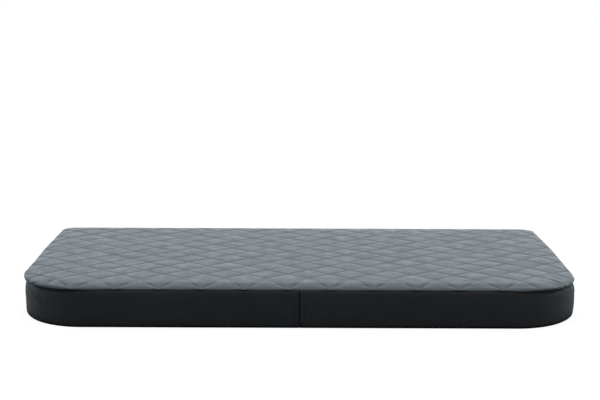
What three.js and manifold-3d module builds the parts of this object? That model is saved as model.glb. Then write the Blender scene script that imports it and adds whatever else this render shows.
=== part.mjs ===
// Futon mattress: a sewn leatherette cover with a diamond-quilted top, closed by a
// zip at the rear, round an inner casing filled with cotton felt and a foam core.
// Millimetres, +Z up. The origin is the middle of the underside; the front faces -Y.

import * as THREE from 'three';
import { mergeVertices } from 'three/addons/utils/BufferGeometryUtils.js';
import Module from 'manifold-3d';

const wasm = await Module();
wasm.setup();

// Overall size
const LENGTH = 2000; // side to side
const WIDTH = 1200; // front to rear
const FRONT_CORNER = [250, 325]; // a front corner's reach in plan, along the front and along the side
const REAR_CORNER = [60, 60]; // a rear corner's, along the rear and along the side
const SEAM_HEIGHT = 134; // underside to the seam below the top panel
const CROWN_RISE = 16; // that seam to the flat of the top panel
const ROLL_WIDTH = 90; // how far in from its edge the top panel rolls over

// Cover
const COVER = 1.5; // leatherette on its knitted backing
const GAP = 0.3; // air left between pieces that touch
const LIP = 6; // overhang of the top panel past the boxing
const SEAM_ALLOWANCE = 12; // flange of the top panel, turned in over the welt
const WELT = 7; // round welt in the seam below the top panel
const HEM_RISE = 10; // height at which the boxing starts to turn under
const HEM_TURN = 3; // how far it turns under
const SEAM_OPENING = 0.4; // between two boxing pieces sewn edge to edge
const SEAM_TAPE_WIDTH = 40; // stay tape behind the front joining seam
const TAPE_THICKNESS = 0.8; // stay tape and zip tapes

// Quilting and filling
const BACKING = 1; // non-woven sheet below the quilt wadding
const CALICO = 1; // wall of the inner casing
const MOUTH_MARGIN = 300; // side of the mattress to the mouth of the casing
const MOUTH_BORDER = 20; // casing left above and below its mouth
const FELT = 22; // each cotton felt layer
const BORDER = 25; // fibre wadding round the edge of the core

// Zip
const ZIP_END_MARGIN = 150; // side of the mattress to the end of the chain
const ZIP_HEIGHT = 67; // underside to the middle of the chain
const ZIP_TAPE_WIDTH = 15; // each tape, beyond its coil
const ZIP_TAPE_TAIL = 20; // tape past each end of the chain, under the boxing
const COIL_WIDTH = 3.2; // one coil, across the chain
const COIL_THICKNESS = 3;
const RUNNING = 0.4; // clearance round everything that slides
const SLOT_CLEARANCE = 1.2; // from the slider's side to the edge of a zip panel
const STOP_LENGTH = 3;
const SLIDER_LENGTH = 16;
const PLATE = 1.5; // outer and inner plates of the slider
const DIVIDER = 0.9; // wall that joins the plates between the coils
const FLANGE = 1.4; // flanges along the slider's plates
const BRIDGE_WIDTH = 3;
const BRIDGE_MARGIN = 1.5; // slider's end to the bridge's
const BRIDGE_WALL = 1.2;
const PULL_LENGTH = 32;
const PULL_WIDTH = 9;
const PULL_THICKNESS = 1.4;
const PULL_PLAY = 0.5; // room round the pull's bar under the bridge
const PULL_ARM = 1.2; // width of the two arms beside the bridge

// Smoothness
const FRONT_STEPS = 16;
const WELT_STEPS = 8;
const REAR_STEPS = 6;
const ROLL_STEPS = 7;
const LIP_STEPS = 3;

const right = LENGTH / 2;
const rear = WIDTH / 2;
const QUARTER = Math.PI / 2;

const leatherette = { color: 0x1b1d20, roughness: 0.38, metalness: 0 };
const wadding = { color: 0xf1f0ea, roughness: 0.95, metalness: 0 };
const nonwoven = { color: 0xd8d8d4, roughness: 0.9, metalness: 0 };
const calico = { color: 0xe6dcc4, roughness: 0.9, metalness: 0 };
const felt = { color: 0xcfc8b8, roughness: 0.95, metalness: 0 };
const foam = { color: 0xe9dfa8, roughness: 0.85, metalness: 0 };
const zipTape = { color: 0x17181a, roughness: 0.85, metalness: 0 };
const nylon = { color: 0x121315, roughness: 0.45, metalness: 0 };
const zipMetal = { color: 0x5d5f63, roughness: 0.35, metalness: 1 };

const mattress = new THREE.Group();

function addPiece(parent, name, geometry, finish) {
  const mesh = new THREE.Mesh(geometry, new THREE.MeshStandardMaterial(finish));
  mesh.name = name;
  parent.add(mesh);
  return mesh;
}

// One quarter-circle corner of the plan, inset from the outer edge.
function corner(side, end, reach, inset, startAngle, steps) {
  const [along, deep] = reach.map((r) => Math.max(r - inset, 1));
  const x = side * (right - inset - along);
  const y = end * (rear - inset - deep);
  return new THREE.EllipseCurve(x, y, along, deep, startAngle, startAngle + QUARTER).getPoints(steps);
}

// The whole plan outline, anticlockwise from the front right corner.
function outline(inset) {
  return [
    ...corner(1, -1, FRONT_CORNER, inset, -QUARTER, FRONT_STEPS),
    ...corner(1, 1, REAR_CORNER, inset, 0, REAR_STEPS),
    ...corner(-1, 1, REAR_CORNER, inset, QUARTER, REAR_STEPS),
    ...corner(-1, -1, FRONT_CORNER, inset, 2 * QUARTER, FRONT_STEPS),
  ];
}

// Closed rows of points, each joined to the next. Both ends get a flat cap, or with
// no caps given the last row joins the first, as a ring.
function loft(rows, firstCap, lastCap) {
  const count = rows[0].length;
  const total = rows.length * count;
  const last = total - count;
  const index = [];
  for (let row = 0; row < (firstCap ? last : total); row += count) {
    const above = (row + count) % total;
    for (let k = 0; k < count; k++) {
      const next = (k + 1) % count;
      index.push(row + k, row + next, above + next);
      index.push(row + k, above + next, above + k);
    }
  }
  if (firstCap) {
    index.push(...capFaces(firstCap, 0, true));
    index.push(...capFaces(lastCap, last, false));
  }
  const points = rows.flat();
  if (enclosedVolume(points, index) < 0) index.reverse();
  const geometry = new THREE.BufferGeometry().setFromPoints(points);
  geometry.setIndex(index);
  geometry.computeVertexNormals();
  return geometry;
}

// Triangles of a flat cap, turned the same way round as its outline, or the other way.
function capFaces(cap, offset, turned) {
  const sense = THREE.ShapeUtils.isClockWise(cap) !== turned;
  return THREE.ShapeUtils.triangulateShape(cap, []).flatMap(([a, b, c]) => {
    const same = THREE.ShapeUtils.isClockWise([cap[a], cap[b], cap[c]]) === sense;
    return (same ? [a, b, c] : [c, b, a]).map((k) => offset + k);
  });
}

function enclosedVolume(points, index) {
  let volume = 0;
  for (let k = 0; k < index.length; k += 3) {
    const [a, b, c] = [points[index[k]], points[index[k + 1]], points[index[k + 2]]];
    volume += a.dot(b.clone().cross(c)) / 6;
  }
  return volume;
}

// A body whose plan outline changes with height: a profile of [inset, height] pairs.
function planLoft(profile) {
  const rings = profile.map(([inset, z]) => outline(inset).map((p) => new THREE.Vector3(p.x, p.y, z)));
  return loft(rings, outline(profile[0][0]), outline(profile.at(-1)[0]));
}

// A strip that follows a path, open or a ring: section is a closed list of [inset,
// height] pairs and path(inset) gives the same number of plan points at any inset.
function strip(section, path, ring = false) {
  const paths = section.map(([inset]) => path(inset));
  const rows = paths[0].map((_, k) =>
    section.map(([, z], s) => new THREE.Vector3(paths[s][k].x, paths[s][k].y, z)),
  );
  if (ring) return loft(rows);
  const cap = section.map(([inset, z]) => new THREE.Vector2(inset, z));
  return loft(rows, cap, cap);
}

// A flat layer cut to the plan outline.
function layer(inset, thickness, holeInset) {
  const shape = new THREE.Shape(outline(inset));
  if (holeInset) shape.holes.push(new THREE.Path(outline(holeInset)));
  return new THREE.ExtrudeGeometry(shape, { depth: thickness, bevelEnabled: false });
}

function toSolid(geometry) {
  const bare = geometry.clone();
  bare.deleteAttribute('normal');
  bare.deleteAttribute('uv');
  const merged = mergeVertices(bare, 1e-4);
  return new wasm.Manifold(
    new wasm.Mesh({
      numProp: 3,
      vertProperties: new Float32Array(merged.attributes.position.array),
      triVerts: new Uint32Array(merged.index.array),
    }),
  );
}

function toGeometry(solid) {
  const mesh = solid.getMesh();
  const geometry = new THREE.BufferGeometry();
  geometry.setAttribute('position', new THREE.BufferAttribute(mesh.vertProperties, 3));
  geometry.setIndex(new THREE.BufferAttribute(mesh.triVerts, 1));
  geometry.computeVertexNormals();
  return geometry;
}

// --- Cover -----------------------------------------------------------------

// Half section of the rolled edge, set in by an offset from the outer face: the lip
// turns out from the seam, then the roll rises to the flat of the top.
function rolledEdge(offset) {
  const profile = [];
  for (let k = 0; k <= LIP_STEPS; k++) {
    const a = (QUARTER * k) / LIP_STEPS;
    profile.push([LIP - (LIP - offset) * Math.sin(a), SEAM_HEIGHT + LIP - (LIP - offset) * Math.cos(a)]);
  }
  for (let k = 1; k <= ROLL_STEPS; k++) {
    const a = (QUARTER * k) / ROLL_STEPS;
    const inset = offset + (ROLL_WIDTH - offset) * (1 - Math.cos(a));
    profile.push([inset, SEAM_HEIGHT + LIP + (CROWN_RISE - LIP - offset) * Math.sin(a)]);
  }
  return profile;
}

function topFace() {
  const allowance = LIP + SEAM_ALLOWANCE;
  return planLoft([
    ...rolledEdge(COVER).reverse(),
    [allowance, SEAM_HEIGHT + COVER],
    [allowance, SEAM_HEIGHT],
    ...rolledEdge(0),
  ]);
}

const weltAxis = SEAM_HEIGHT - GAP - WELT / 2;
const boxingTop = weltAxis - WELT / 2 - GAP;
const boxingFoot = COVER + GAP;
const boxingInside = LIP + COVER;
const tapeInset = boxingInside + GAP + TAPE_THICKNESS / 2;

// Upright band of the cover from its hem up to a given height.
function boxingSection(top) {
  return [
    [LIP, top],
    [LIP, HEM_RISE],
    [LIP + HEM_TURN / 3, HEM_RISE / 2],
    [LIP + HEM_TURN, boxingFoot],
    [boxingInside + HEM_TURN, boxingFoot],
    [boxingInside + HEM_TURN / 3, HEM_RISE / 2],
    [boxingInside, HEM_RISE],
    [boxingInside, top],
  ];
}

const coilFoot = DIVIDER / 2 + RUNNING;
const coilTop = coilFoot + COIL_WIDTH;
const sliderHalfWidth = coilTop + RUNNING + FLANGE;
// Round cord under the edge of the top panel, all the way round the mattress.
function welt() {
  const section = Array.from({ length: WELT_STEPS }, (_, k) => {
    const a = (2 * Math.PI * (k + 0.5)) / WELT_STEPS;
    return [boxingInside - (WELT / 2) * Math.cos(a), weltAxis + (WELT / 2) * Math.sin(a)];
  });
  return strip(section, outline, true);
}

const zipEnd = right - ZIP_END_MARGIN;
const boxingEnd = zipEnd + GAP + STOP_LENGTH + RUNNING;

// From the front joining seam round one side to the rear zip.
function sidePath(side) {
  return (inset) => {
    const half = [
      new THREE.Vector2(SEAM_OPENING / 2, inset - rear),
      ...corner(1, -1, FRONT_CORNER, inset, -QUARTER, FRONT_STEPS),
      ...corner(1, 1, REAR_CORNER, inset, 0, REAR_STEPS),
      new THREE.Vector2(boxingEnd, rear - inset),
    ];
    return half.map((p) => new THREE.Vector2(side * p.x, p.y));
  };
}

function zipPanelPath(inset) {
  const end = boxingEnd - SEAM_OPENING;
  return [new THREE.Vector2(-end, rear - inset), new THREE.Vector2(end, rear - inset)];
}

function addCover() {
  addPiece(mattress, 'top_face', topFace(), leatherette);
  addPiece(mattress, 'top_welt', welt(), leatherette);
  addPiece(mattress, 'boxing_left', strip(boxingSection(boxingTop), sidePath(-1)), leatherette);
  addPiece(mattress, 'boxing_right', strip(boxingSection(boxingTop), sidePath(1)), leatherette);

  const slotTop = ZIP_HEIGHT + sliderHalfWidth + SLOT_CLEARANCE;
  const slotFoot = ZIP_HEIGHT - sliderHalfWidth - SLOT_CLEARANCE;
  const upperSection = [
    [LIP, boxingTop],
    [LIP, slotTop],
    [boxingInside, slotTop],
    [boxingInside, boxingTop],
  ];
  addPiece(mattress, 'zip_panel_upper', strip(upperSection, zipPanelPath), leatherette);
  addPiece(mattress, 'zip_panel_lower', strip(boxingSection(slotFoot), zipPanelPath), leatherette);
  addPiece(mattress, 'bottom_panel', layer(LIP + HEM_TURN / 3, COVER), leatherette);

  const tapeHeight = boxingTop - 2 * HEM_RISE;
  const tape = new THREE.BoxGeometry(SEAM_TAPE_WIDTH, TAPE_THICKNESS, tapeHeight);
  const seamTape = addPiece(mattress, 'seam_tape', tape, zipTape);
  seamTape.position.set(0, tapeInset - rear, HEM_RISE + tapeHeight / 2);
}

// --- Quilting --------------------------------------------------------------

const backingFoot = SEAM_HEIGHT + COVER + GAP;
const waddingFoot = backingFoot + BACKING + GAP;

function addQuilting() {
  const backing = addPiece(mattress, 'quilt_backing', layer(LIP, BACKING), nonwoven);
  backing.position.z = backingFoot;

  const aboveLip = rolledEdge(COVER + GAP).slice(LIP_STEPS);
  const profile = [[LIP, waddingFoot], ...aboveLip];
  addPiece(mattress, 'quilt_wadding', planLoft(profile), wadding);
}

// --- Filling ---------------------------------------------------------------

const sliderHalfDepth = COIL_THICKNESS / 2 + RUNNING + PLATE;
const linerInset = tapeInset + sliderHalfDepth + 2 * RUNNING;
const linerFoot = COVER + GAP;
const linerTop = SEAM_HEIGHT - GAP;

function liner() {
  const outer = layer(linerInset, linerTop - linerFoot);
  const inner = layer(linerInset + CALICO, linerTop - linerFoot - 2 * CALICO);
  inner.translate(0, 0, CALICO);
  const mouthHeight = linerTop - linerFoot - 2 * MOUTH_BORDER;
  const mouth = new THREE.BoxGeometry(LENGTH - 2 * MOUTH_MARGIN, 6 * CALICO, mouthHeight);
  mouth.translate(0, rear - linerInset, (linerTop - linerFoot) / 2);
  const solid = toSolid(outer).subtract(toSolid(inner)).subtract(toSolid(mouth));
  return toGeometry(solid);
}

function addFilling() {
  addPiece(mattress, 'liner', liner(), calico).position.z = linerFoot;

  const inset = linerInset + CALICO + GAP;
  const foot = linerFoot + CALICO + GAP;
  const top = linerTop - CALICO - GAP;
  const coreFoot = foot + FELT + GAP;
  const coreHeight = top - FELT - GAP - coreFoot;
  addPiece(mattress, 'felt_lower', layer(inset, FELT), felt).position.z = foot;
  addPiece(mattress, 'felt_upper', layer(inset, FELT), felt).position.z = top - FELT;

  const ring = layer(inset, coreHeight, inset + BORDER);
  addPiece(mattress, 'border_wadding', ring, wadding).position.z = coreFoot;
  const core = layer(inset + BORDER + GAP, coreHeight);
  addPiece(mattress, 'foam_core', core, foam).position.z = coreFoot;
}

// --- Zip -------------------------------------------------------------------
// Inside the zip group X runs along the chain, +Y points out of the mattress and
// the middle of the chain is at Y = Z = 0.

const channel = COIL_THICKNESS / 2 + RUNNING;
const bridgeFoot = channel + PLATE;
const bridgeHalf = SLIDER_LENGTH / 2 - BRIDGE_MARGIN;
const bridgeHole = PULL_THICKNESS + 2 * PULL_PLAY;
const pullAxis = bridgeFoot + bridgeHole / 2;

// A section in Y and Z, extruded along X.
function alongChain(points, length, from) {
  const shape = new THREE.Shape(points.map(([y, z]) => new THREE.Vector2(y, z)));
  const geometry = new THREE.ExtrudeGeometry(shape, { depth: length, bevelEnabled: false });
  geometry.rotateY(QUARTER);
  geometry.rotateX(QUARTER);
  geometry.translate(from, 0, 0);
  return geometry;
}

function rectangle(y0, y1, z0, z1) {
  return [[y0, z0], [y1, z0], [y1, z1], [y0, z1]];
}

// Two plates joined by a wall through the gap between the coils.
function clipSection(halfWidth, plate) {
  const outer = channel + plate;
  const wall = DIVIDER / 2;
  return [
    [-channel, wall], [-channel, halfWidth], [-outer, halfWidth], [-outer, -halfWidth],
    [-channel, -halfWidth], [-channel, -wall], [channel, -wall], [channel, -halfWidth],
    [outer, -halfWidth], [outer, halfWidth], [channel, halfWidth], [channel, wall],
  ];
}

// Plan of the slider: full width where the coils enter, narrower where they leave.
function sliderPlan() {
  const half = SLIDER_LENGTH / 2;
  const wide = sliderHalfWidth;
  const narrow = wide - FLANGE / 2;
  const shape = new THREE.Shape();
  shape.moveTo(-half, -narrow * 0.8);
  shape.quadraticCurveTo(-half, -narrow, -half * 0.7, -narrow);
  shape.lineTo(half * 0.2, -wide);
  shape.lineTo(half * 0.6, -wide);
  shape.quadraticCurveTo(half, -wide, half, -wide * 0.5);
  shape.lineTo(half, wide * 0.5);
  shape.quadraticCurveTo(half, wide, half * 0.6, wide);
  shape.lineTo(half * 0.2, wide);
  shape.lineTo(-half * 0.7, narrow);
  shape.quadraticCurveTo(-half, narrow, -half, narrow * 0.8);
  const depth = 2 * bridgeFoot;
  const geometry = new THREE.ExtrudeGeometry(shape, { depth, bevelEnabled: false, curveSegments: 4 });
  geometry.rotateX(QUARTER);
  geometry.translate(0, depth / 2, 0);
  return geometry;
}

function bridge() {
  const half = bridgeHalf;
  const ceiling = bridgeFoot + bridgeHole;
  const top = ceiling + BRIDGE_WALL;
  const hole = half - BRIDGE_WALL;
  const root = bridgeFoot - PLATE / 2;
  const shape = new THREE.Shape();
  shape.moveTo(-half, root);
  shape.lineTo(-hole, root);
  shape.lineTo(-hole, ceiling);
  shape.lineTo(hole, ceiling);
  shape.lineTo(hole, root);
  shape.lineTo(half, root);
  shape.lineTo(half, top - BRIDGE_WALL);
  shape.quadraticCurveTo(half, top, half - BRIDGE_WALL, top);
  shape.lineTo(BRIDGE_WALL - half, top);
  shape.quadraticCurveTo(-half, top, -half, top - BRIDGE_WALL);
  const options = { depth: BRIDGE_WIDTH, bevelEnabled: false, curveSegments: 4 };
  return new THREE.ExtrudeGeometry(shape, options).translate(0, 0, -BRIDGE_WIDTH / 2);
}

function slider() {
  const wide = sliderHalfWidth;
  const body = toSolid(alongChain(clipSection(wide, PLATE), SLIDER_LENGTH, -SLIDER_LENGTH / 2));
  const flangeFoot = TAPE_THICKNESS / 2 + RUNNING;
  const flanges = [];
  const flangeRoot = channel + PLATE / 2;
  for (const [y0, y1] of [[flangeFoot, flangeRoot], [-flangeRoot, -flangeFoot]]) {
    for (const [z0, z1] of [[wide - FLANGE, wide], [-wide, FLANGE - wide]]) {
      flanges.push(alongChain(rectangle(y0, y1, z0, z1), SLIDER_LENGTH, -SLIDER_LENGTH / 2));
    }
  }
  const shell = flanges.reduce((solid, flange) => solid.add(toSolid(flange)), body);
  return toGeometry(shell.intersect(toSolid(sliderPlan())).add(toSolid(bridge())));
}

// Flat tab with two arms that straddle the bridge and a round bar under it.
function pull() {
  const inner = BRIDGE_WIDTH / 2 + RUNNING;
  const arm = inner + PULL_ARM;
  const wide = PULL_WIDTH / 2;
  const heel = -PULL_THICKNESS / 2;
  const window = bridgeHalf + PULL_PLAY + PULL_ARM;
  const shoulder = window + PULL_ARM;
  const shape = new THREE.Shape();
  shape.moveTo(heel, -arm);
  shape.lineTo(window - PULL_ARM, -arm);
  shape.lineTo(shoulder, -wide);
  shape.lineTo(PULL_LENGTH - wide, -wide);
  shape.absarc(PULL_LENGTH - wide, 0, wide, -QUARTER, QUARTER);
  shape.lineTo(shoulder, wide);
  shape.lineTo(window - PULL_ARM, arm);
  shape.lineTo(heel, arm);
  shape.lineTo(heel, inner);
  shape.lineTo(window, inner);
  shape.lineTo(window, -inner);
  shape.lineTo(heel, -inner);
  const options = { depth: PULL_THICKNESS, bevelEnabled: false, curveSegments: 8 };
  const tab = new THREE.ExtrudeGeometry(shape, options);
  tab.rotateX(QUARTER);
  tab.translate(0, PULL_THICKNESS / 2, 0);
  const radius = PULL_THICKNESS / 2;
  const bar = new THREE.CylinderGeometry(radius, radius, 2 * inner + PULL_ARM, 12);
  bar.rotateX(QUARTER);
  return toGeometry(toSolid(tab).add(toSolid(bar)));
}

function addZip() {
  const zip = new THREE.Group();
  zip.position.set(0, rear - tapeInset, ZIP_HEIGHT);
  mattress.add(zip);

  const tapeFoot = coilTop + GAP;
  const tapeEnd = zipEnd + ZIP_TAPE_TAIL;
  const halfTape = TAPE_THICKNESS / 2;
  const halfCoil = COIL_THICKNESS / 2;
  const tapeSection = rectangle(-halfTape, halfTape, tapeFoot, tapeFoot + ZIP_TAPE_WIDTH);
  const coilSection = rectangle(-halfCoil, halfCoil, coilFoot, coilTop);
  for (const [name, turn] of [['upper', 0], ['lower', Math.PI]]) {
    const tape = addPiece(zip, `zip_tape_${name}`, alongChain(tapeSection, 2 * tapeEnd, -tapeEnd), zipTape);
    const coil = addPiece(zip, `zip_coil_${name}`, alongChain(coilSection, 2 * zipEnd, -zipEnd), nylon);
    tape.rotation.x = turn;
    coil.rotation.x = turn;
  }

  const stopSection = clipSection(sliderHalfWidth, BRIDGE_WALL);
  for (const [name, side] of [['left', -1], ['right', 1]]) {
    const stop = addPiece(zip, `zip_stop_${name}`, alongChain(stopSection, STOP_LENGTH, GAP), zipMetal);
    stop.position.x = side * zipEnd;
    stop.rotation.y = side > 0 ? 0 : Math.PI;
  }

  const closed = zipEnd - SLIDER_LENGTH / 2 - RUNNING;
  addPiece(zip, 'zip_slider', slider(), zipMetal).position.x = closed;
  addPiece(zip, 'zip_pull', pull(), zipMetal).position.set(closed, pullAxis, 0);
}

addCover();
addQuilting();
addFilling();
addZip();

export default mattress;
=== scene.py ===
import functools
import math

import bmesh
import bpy
import numpy as np
from mathutils import Matrix, Vector, noise
from mathutils.bvhtree import BVHTree
from mathutils.geometry import delaunay_2d_cdt


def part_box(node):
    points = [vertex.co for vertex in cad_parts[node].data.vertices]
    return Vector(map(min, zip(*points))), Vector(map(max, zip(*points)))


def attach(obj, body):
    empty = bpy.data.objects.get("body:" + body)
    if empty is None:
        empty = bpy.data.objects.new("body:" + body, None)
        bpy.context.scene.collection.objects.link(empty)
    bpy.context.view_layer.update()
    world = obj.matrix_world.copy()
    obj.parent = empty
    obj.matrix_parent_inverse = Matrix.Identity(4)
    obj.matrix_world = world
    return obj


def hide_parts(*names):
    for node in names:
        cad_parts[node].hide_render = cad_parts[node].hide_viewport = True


bl_info = {
    "name": "Quilted Mattress",
    "version": (1, 0, 0),
    "blender": (4, 5, 0),
    "location": "3D View > Sidebar > Mattress",
    "description": "Makes a quilted leatherette mattress with a welted edge and a zipped cover",
    "category": "Add Mesh",
}

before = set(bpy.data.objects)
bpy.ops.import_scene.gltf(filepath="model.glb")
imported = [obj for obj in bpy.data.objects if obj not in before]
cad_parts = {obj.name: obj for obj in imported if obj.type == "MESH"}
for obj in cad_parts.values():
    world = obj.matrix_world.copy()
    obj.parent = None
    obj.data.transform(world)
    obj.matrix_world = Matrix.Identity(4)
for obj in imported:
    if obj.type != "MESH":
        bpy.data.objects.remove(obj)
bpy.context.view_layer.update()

BODY = "mattress"


# The outline of the cover and the levels of its seams, all in metres.
TOP_LOW, TOP_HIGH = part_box("top_face")
BOXING_LOW, BOXING_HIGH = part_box("boxing_left")
WELT_LOW, WELT_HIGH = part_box("top_welt")
PANEL_LOW, PANEL_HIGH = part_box("bottom_panel")
ZIP_UPPER_LOW, ZIP_UPPER_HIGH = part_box("zip_panel_upper")
_, ZIP_LOWER_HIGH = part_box("zip_panel_lower")
SLIDER_LOW, SLIDER_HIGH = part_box("zip_slider")

HALF_LENGTH = TOP_HIGH.x
HALF_WIDTH = TOP_HIGH.y


def corner_reach(end):
    """How far a corner of the outline reaches along the front (end -1) or rear (1), and the side."""
    spots = [corner.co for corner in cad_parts["top_face"].data.vertices]
    along = max(spot.x for spot in spots if abs(spot.y - end * HALF_WIDTH) < 0.0002)
    deep = max(spot.y * end for spot in spots if abs(spot.x - HALF_LENGTH) < 0.0002)
    return HALF_LENGTH - along, HALF_WIDTH - deep


FRONT_CORNER = corner_reach(-1)
REAR_CORNER = corner_reach(1)
LIP = HALF_LENGTH - BOXING_HIGH.x if BOXING_HIGH.x > 0 else HALF_LENGTH + BOXING_LOW.x
COVER_THICKNESS = PANEL_HIGH.z - PANEL_LOW.z

# How the cover is drawn in towards the front, how finely its sides are made, and its stitching.
DRAWN_IN = 0.0075
STATION_STEP = 0.0062
LIP_STEPS = 24
QUILTING_THREAD = 0.00042
SEWING_THREAD = 0.00036
SEWING_PITCH = 0.0048
SEWING_STITCH = 0.72 * SEWING_PITCH


# ---------------------------------------------------------------- plan and section

def edge_distance(x, y):
    """Distance inside the outline, negative outside it, and the outward direction there."""
    reach = FRONT_CORNER if y < 0 else REAR_CORNER
    across = abs(x) - HALF_LENGTH + reach[0]
    along = abs(y) - HALF_WIDTH + reach[1]
    side = math.copysign(1, x)
    end = math.copysign(1, y)
    if across <= 0 or along <= 0:
        from_side = HALF_LENGTH - abs(x)
        from_end = HALF_WIDTH - abs(y)
        if from_side < from_end:
            return from_side, side, 0.0
        return from_end, 0.0, end
    low = -0.05
    high = min(reach) * 0.995
    for _ in range(24):
        inset = (low + high) / 2
        if (across / (reach[0] - inset)) ** 2 + (along / (reach[1] - inset)) ** 2 > 1:
            high = inset
        else:
            low = inset
    away_x = across / (reach[0] - inset) ** 2
    away_y = along / (reach[1] - inset) ** 2
    length = math.hypot(away_x, away_y)
    return inset, side * away_x / length, end * away_y / length


def walk_outline(side, inset, step, rear_stop=0.0):
    """Points (x, y, outward x, outward y, run) at one inset, from the front middle round one side.

    The walk ends on the rear edge at the distance rear_stop from the middle."""
    spots = []

    def straight(start, end, outward, last=False):
        count = max(1, round(math.dist(start, end) / step))
        for index in range(count + (1 if last else 0)):
            share = index / count
            x = start[0] + (end[0] - start[0]) * share
            y = start[1] + (end[1] - start[1]) * share
            spots.append((x, y, outward[0], outward[1]))

    def corner(reach, end, first):
        long_side = reach[0] - inset
        short_side = reach[1] - inset
        middle = (HALF_LENGTH - reach[0], end * (HALF_WIDTH - reach[1]))
        count = max(4, round((long_side + short_side) * math.pi / 4 / step))
        for index in range(count):
            angle = first + (math.pi / 2) * index / count
            away = Vector((math.cos(angle) / long_side, math.sin(angle) / short_side)).normalized()
            x = middle[0] + long_side * math.cos(angle)
            y = middle[1] + short_side * math.sin(angle)
            spots.append((x, y, away.x, away.y))

    right = HALF_LENGTH - inset
    back = HALF_WIDTH - inset
    front_straight = HALF_LENGTH - FRONT_CORNER[0]
    rear_straight = HALF_LENGTH - REAR_CORNER[0]
    straight((0.0, -back), (front_straight, -back), (0.0, -1.0))
    corner(FRONT_CORNER, -1, -math.pi / 2)
    straight((right, FRONT_CORNER[1] - HALF_WIDTH), (right, HALF_WIDTH - REAR_CORNER[1]), (1.0, 0.0))
    corner(REAR_CORNER, 1, 0.0)
    straight((rear_straight, back), (rear_stop, back), (0.0, 1.0), last=True)
    stations = []
    run = 0.0
    for index, (x, y, away_x, away_y) in enumerate(spots):
        if index:
            run += math.dist((x, y), spots[index - 1][:2])
        stations.append((side * x, y, side * away_x, away_y, run))
    return stations


def closed_outline(inset, step):
    """The whole outline at one inset, once round, without its first point repeated."""
    left = walk_outline(-1, inset, step)
    right = walk_outline(1, inset, step)
    return left[:-1] + [right[-1]] + right[-2:0:-1]


def settle(x, y, z):
    """Where a point of the soft mattress comes to lie once it has settled on the floor.

    The sides draw in a little towards the front and the right front corner droops."""
    drawn = 1 - smooth_step(-0.18, 0.16, y)
    drawn *= smooth_step(-0.44, -0.27, y)
    inward = DRAWN_IN * float(drawn) * float(smooth_step(HALF_LENGTH - 0.35, HALF_LENGTH - 0.02, abs(x)))
    droop = 0.0060 if x > 0 else 0.0010
    droop *= float(smooth_step(HALF_LENGTH - 0.20, HALF_LENGTH - 0.01, abs(x)))
    droop *= float(smooth_step(0.12, 0.36, -y)) * float(smooth_step(0.04, TOP_LOW.z, z))
    return x - math.copysign(inward, x), y, z - droop


def smooth_step(low, high, value):
    share = np.clip((value - low) / (high - low), 0.0, 1.0)
    return share * share * (3 - 2 * share)


def seam_recess(x, y):
    """How far the sewn edge of the top is drawn in: most along the middle of the front."""
    front = smooth_step(HALF_WIDTH - 0.10, HALF_WIDTH - 0.01, -y)
    middle = 1 - smooth_step(HALF_LENGTH - 0.36, HALF_LENGTH - 0.12, abs(x))
    return 0.0042 * float(front * middle)


class TopSection:
    """The edge of the top panel: flat, an easy bend, a steady slope, and a lip turned in to the seam."""

    def __init__(self, roll, crown):
        step = 0.0005
        turn = 0.0028
        drop = crown - TOP_LOW.z - turn * 1.97
        bend = 0.50 * roll
        slope = drop / (roll - turn - bend / 2)
        out = [0.0]
        up = [crown]
        while out[-1] < roll - turn:
            grade = slope * float(smooth_step(0.0, bend, out[-1]))
            length = math.hypot(1.0, grade)
            out.append(out[-1] + step / length)
            up.append(up[-1] - step * grade / length)
        start = math.atan(slope)
        middle_out = out[-1] - turn * math.sin(start)
        middle_up = up[-1] - turn * math.cos(start)
        for index in range(1, LIP_STEPS + 1):
            angle = start + (math.radians(172) - start) * index / LIP_STEPS
            out.append(middle_out + turn * math.sin(angle))
            up.append(middle_up + turn * math.cos(angle))
        excess = max(out) - roll
        low = min(up) - TOP_LOW.z
        self.out = np.array(out) - excess
        self.up = np.array(up) - low * smooth_step(0.0, roll, np.array(out))
        self.run = np.concatenate([[0], np.cumsum(np.hypot(np.diff(self.out), np.diff(self.up)))])
        self.lean_out = -np.gradient(self.up, self.run)
        self.lean_up = np.gradient(self.out, self.run)
        self.roll = roll
        self.length = self.run[-1]
        self.extra = self.length - roll

    def place(self, x, y):
        """Where a point of the flat panel comes to lie, the normal there, and its run from the flat."""
        inside, away_x, away_y = edge_distance(x, y)
        run = self.roll - inside
        if run <= 0:
            return (x, y, self.up[0]), (0.0, 0.0, 1.0), 0.0
        out = float(np.interp(run, self.run, self.out))
        up = float(np.interp(run, self.run, self.up))
        lean_out = float(np.interp(run, self.run, self.lean_out))
        lean_up = float(np.interp(run, self.run, self.lean_up))
        recess = seam_recess(x, y) * float(smooth_step(0.0, self.roll, out))
        back = run - out + recess
        length = math.hypot(lean_out, lean_up)
        normal = (away_x * lean_out / length, away_y * lean_out / length, lean_up / length)
        return (x - away_x * back, y - away_y * back, up), normal, run


# ---------------------------------------------------------------- mesh helpers

def make_piece(name, vertices, faces, material):
    """A smooth-shaded piece in the frame's own place, riding on the mattress."""
    mesh = bpy.data.meshes.new(name)
    mesh.from_pydata([settle(x, y, z) for x, y, z in vertices], [], faces)
    mesh.validate()
    mesh.shade_smooth()
    mesh.materials.append(material)
    mesh.update()
    piece = bpy.data.objects.new(name, mesh)
    bpy.context.scene.collection.objects.link(piece)
    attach(piece, BODY)
    return piece


def thicken(piece, thickness):
    """Gives a skin its cloth thickness, inwards from its outer face."""
    shell = piece.modifiers.new("thickness", "SOLIDIFY")
    shell.thickness = thickness
    shell.offset = -1.0
    shell.use_even_offset = False


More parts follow.
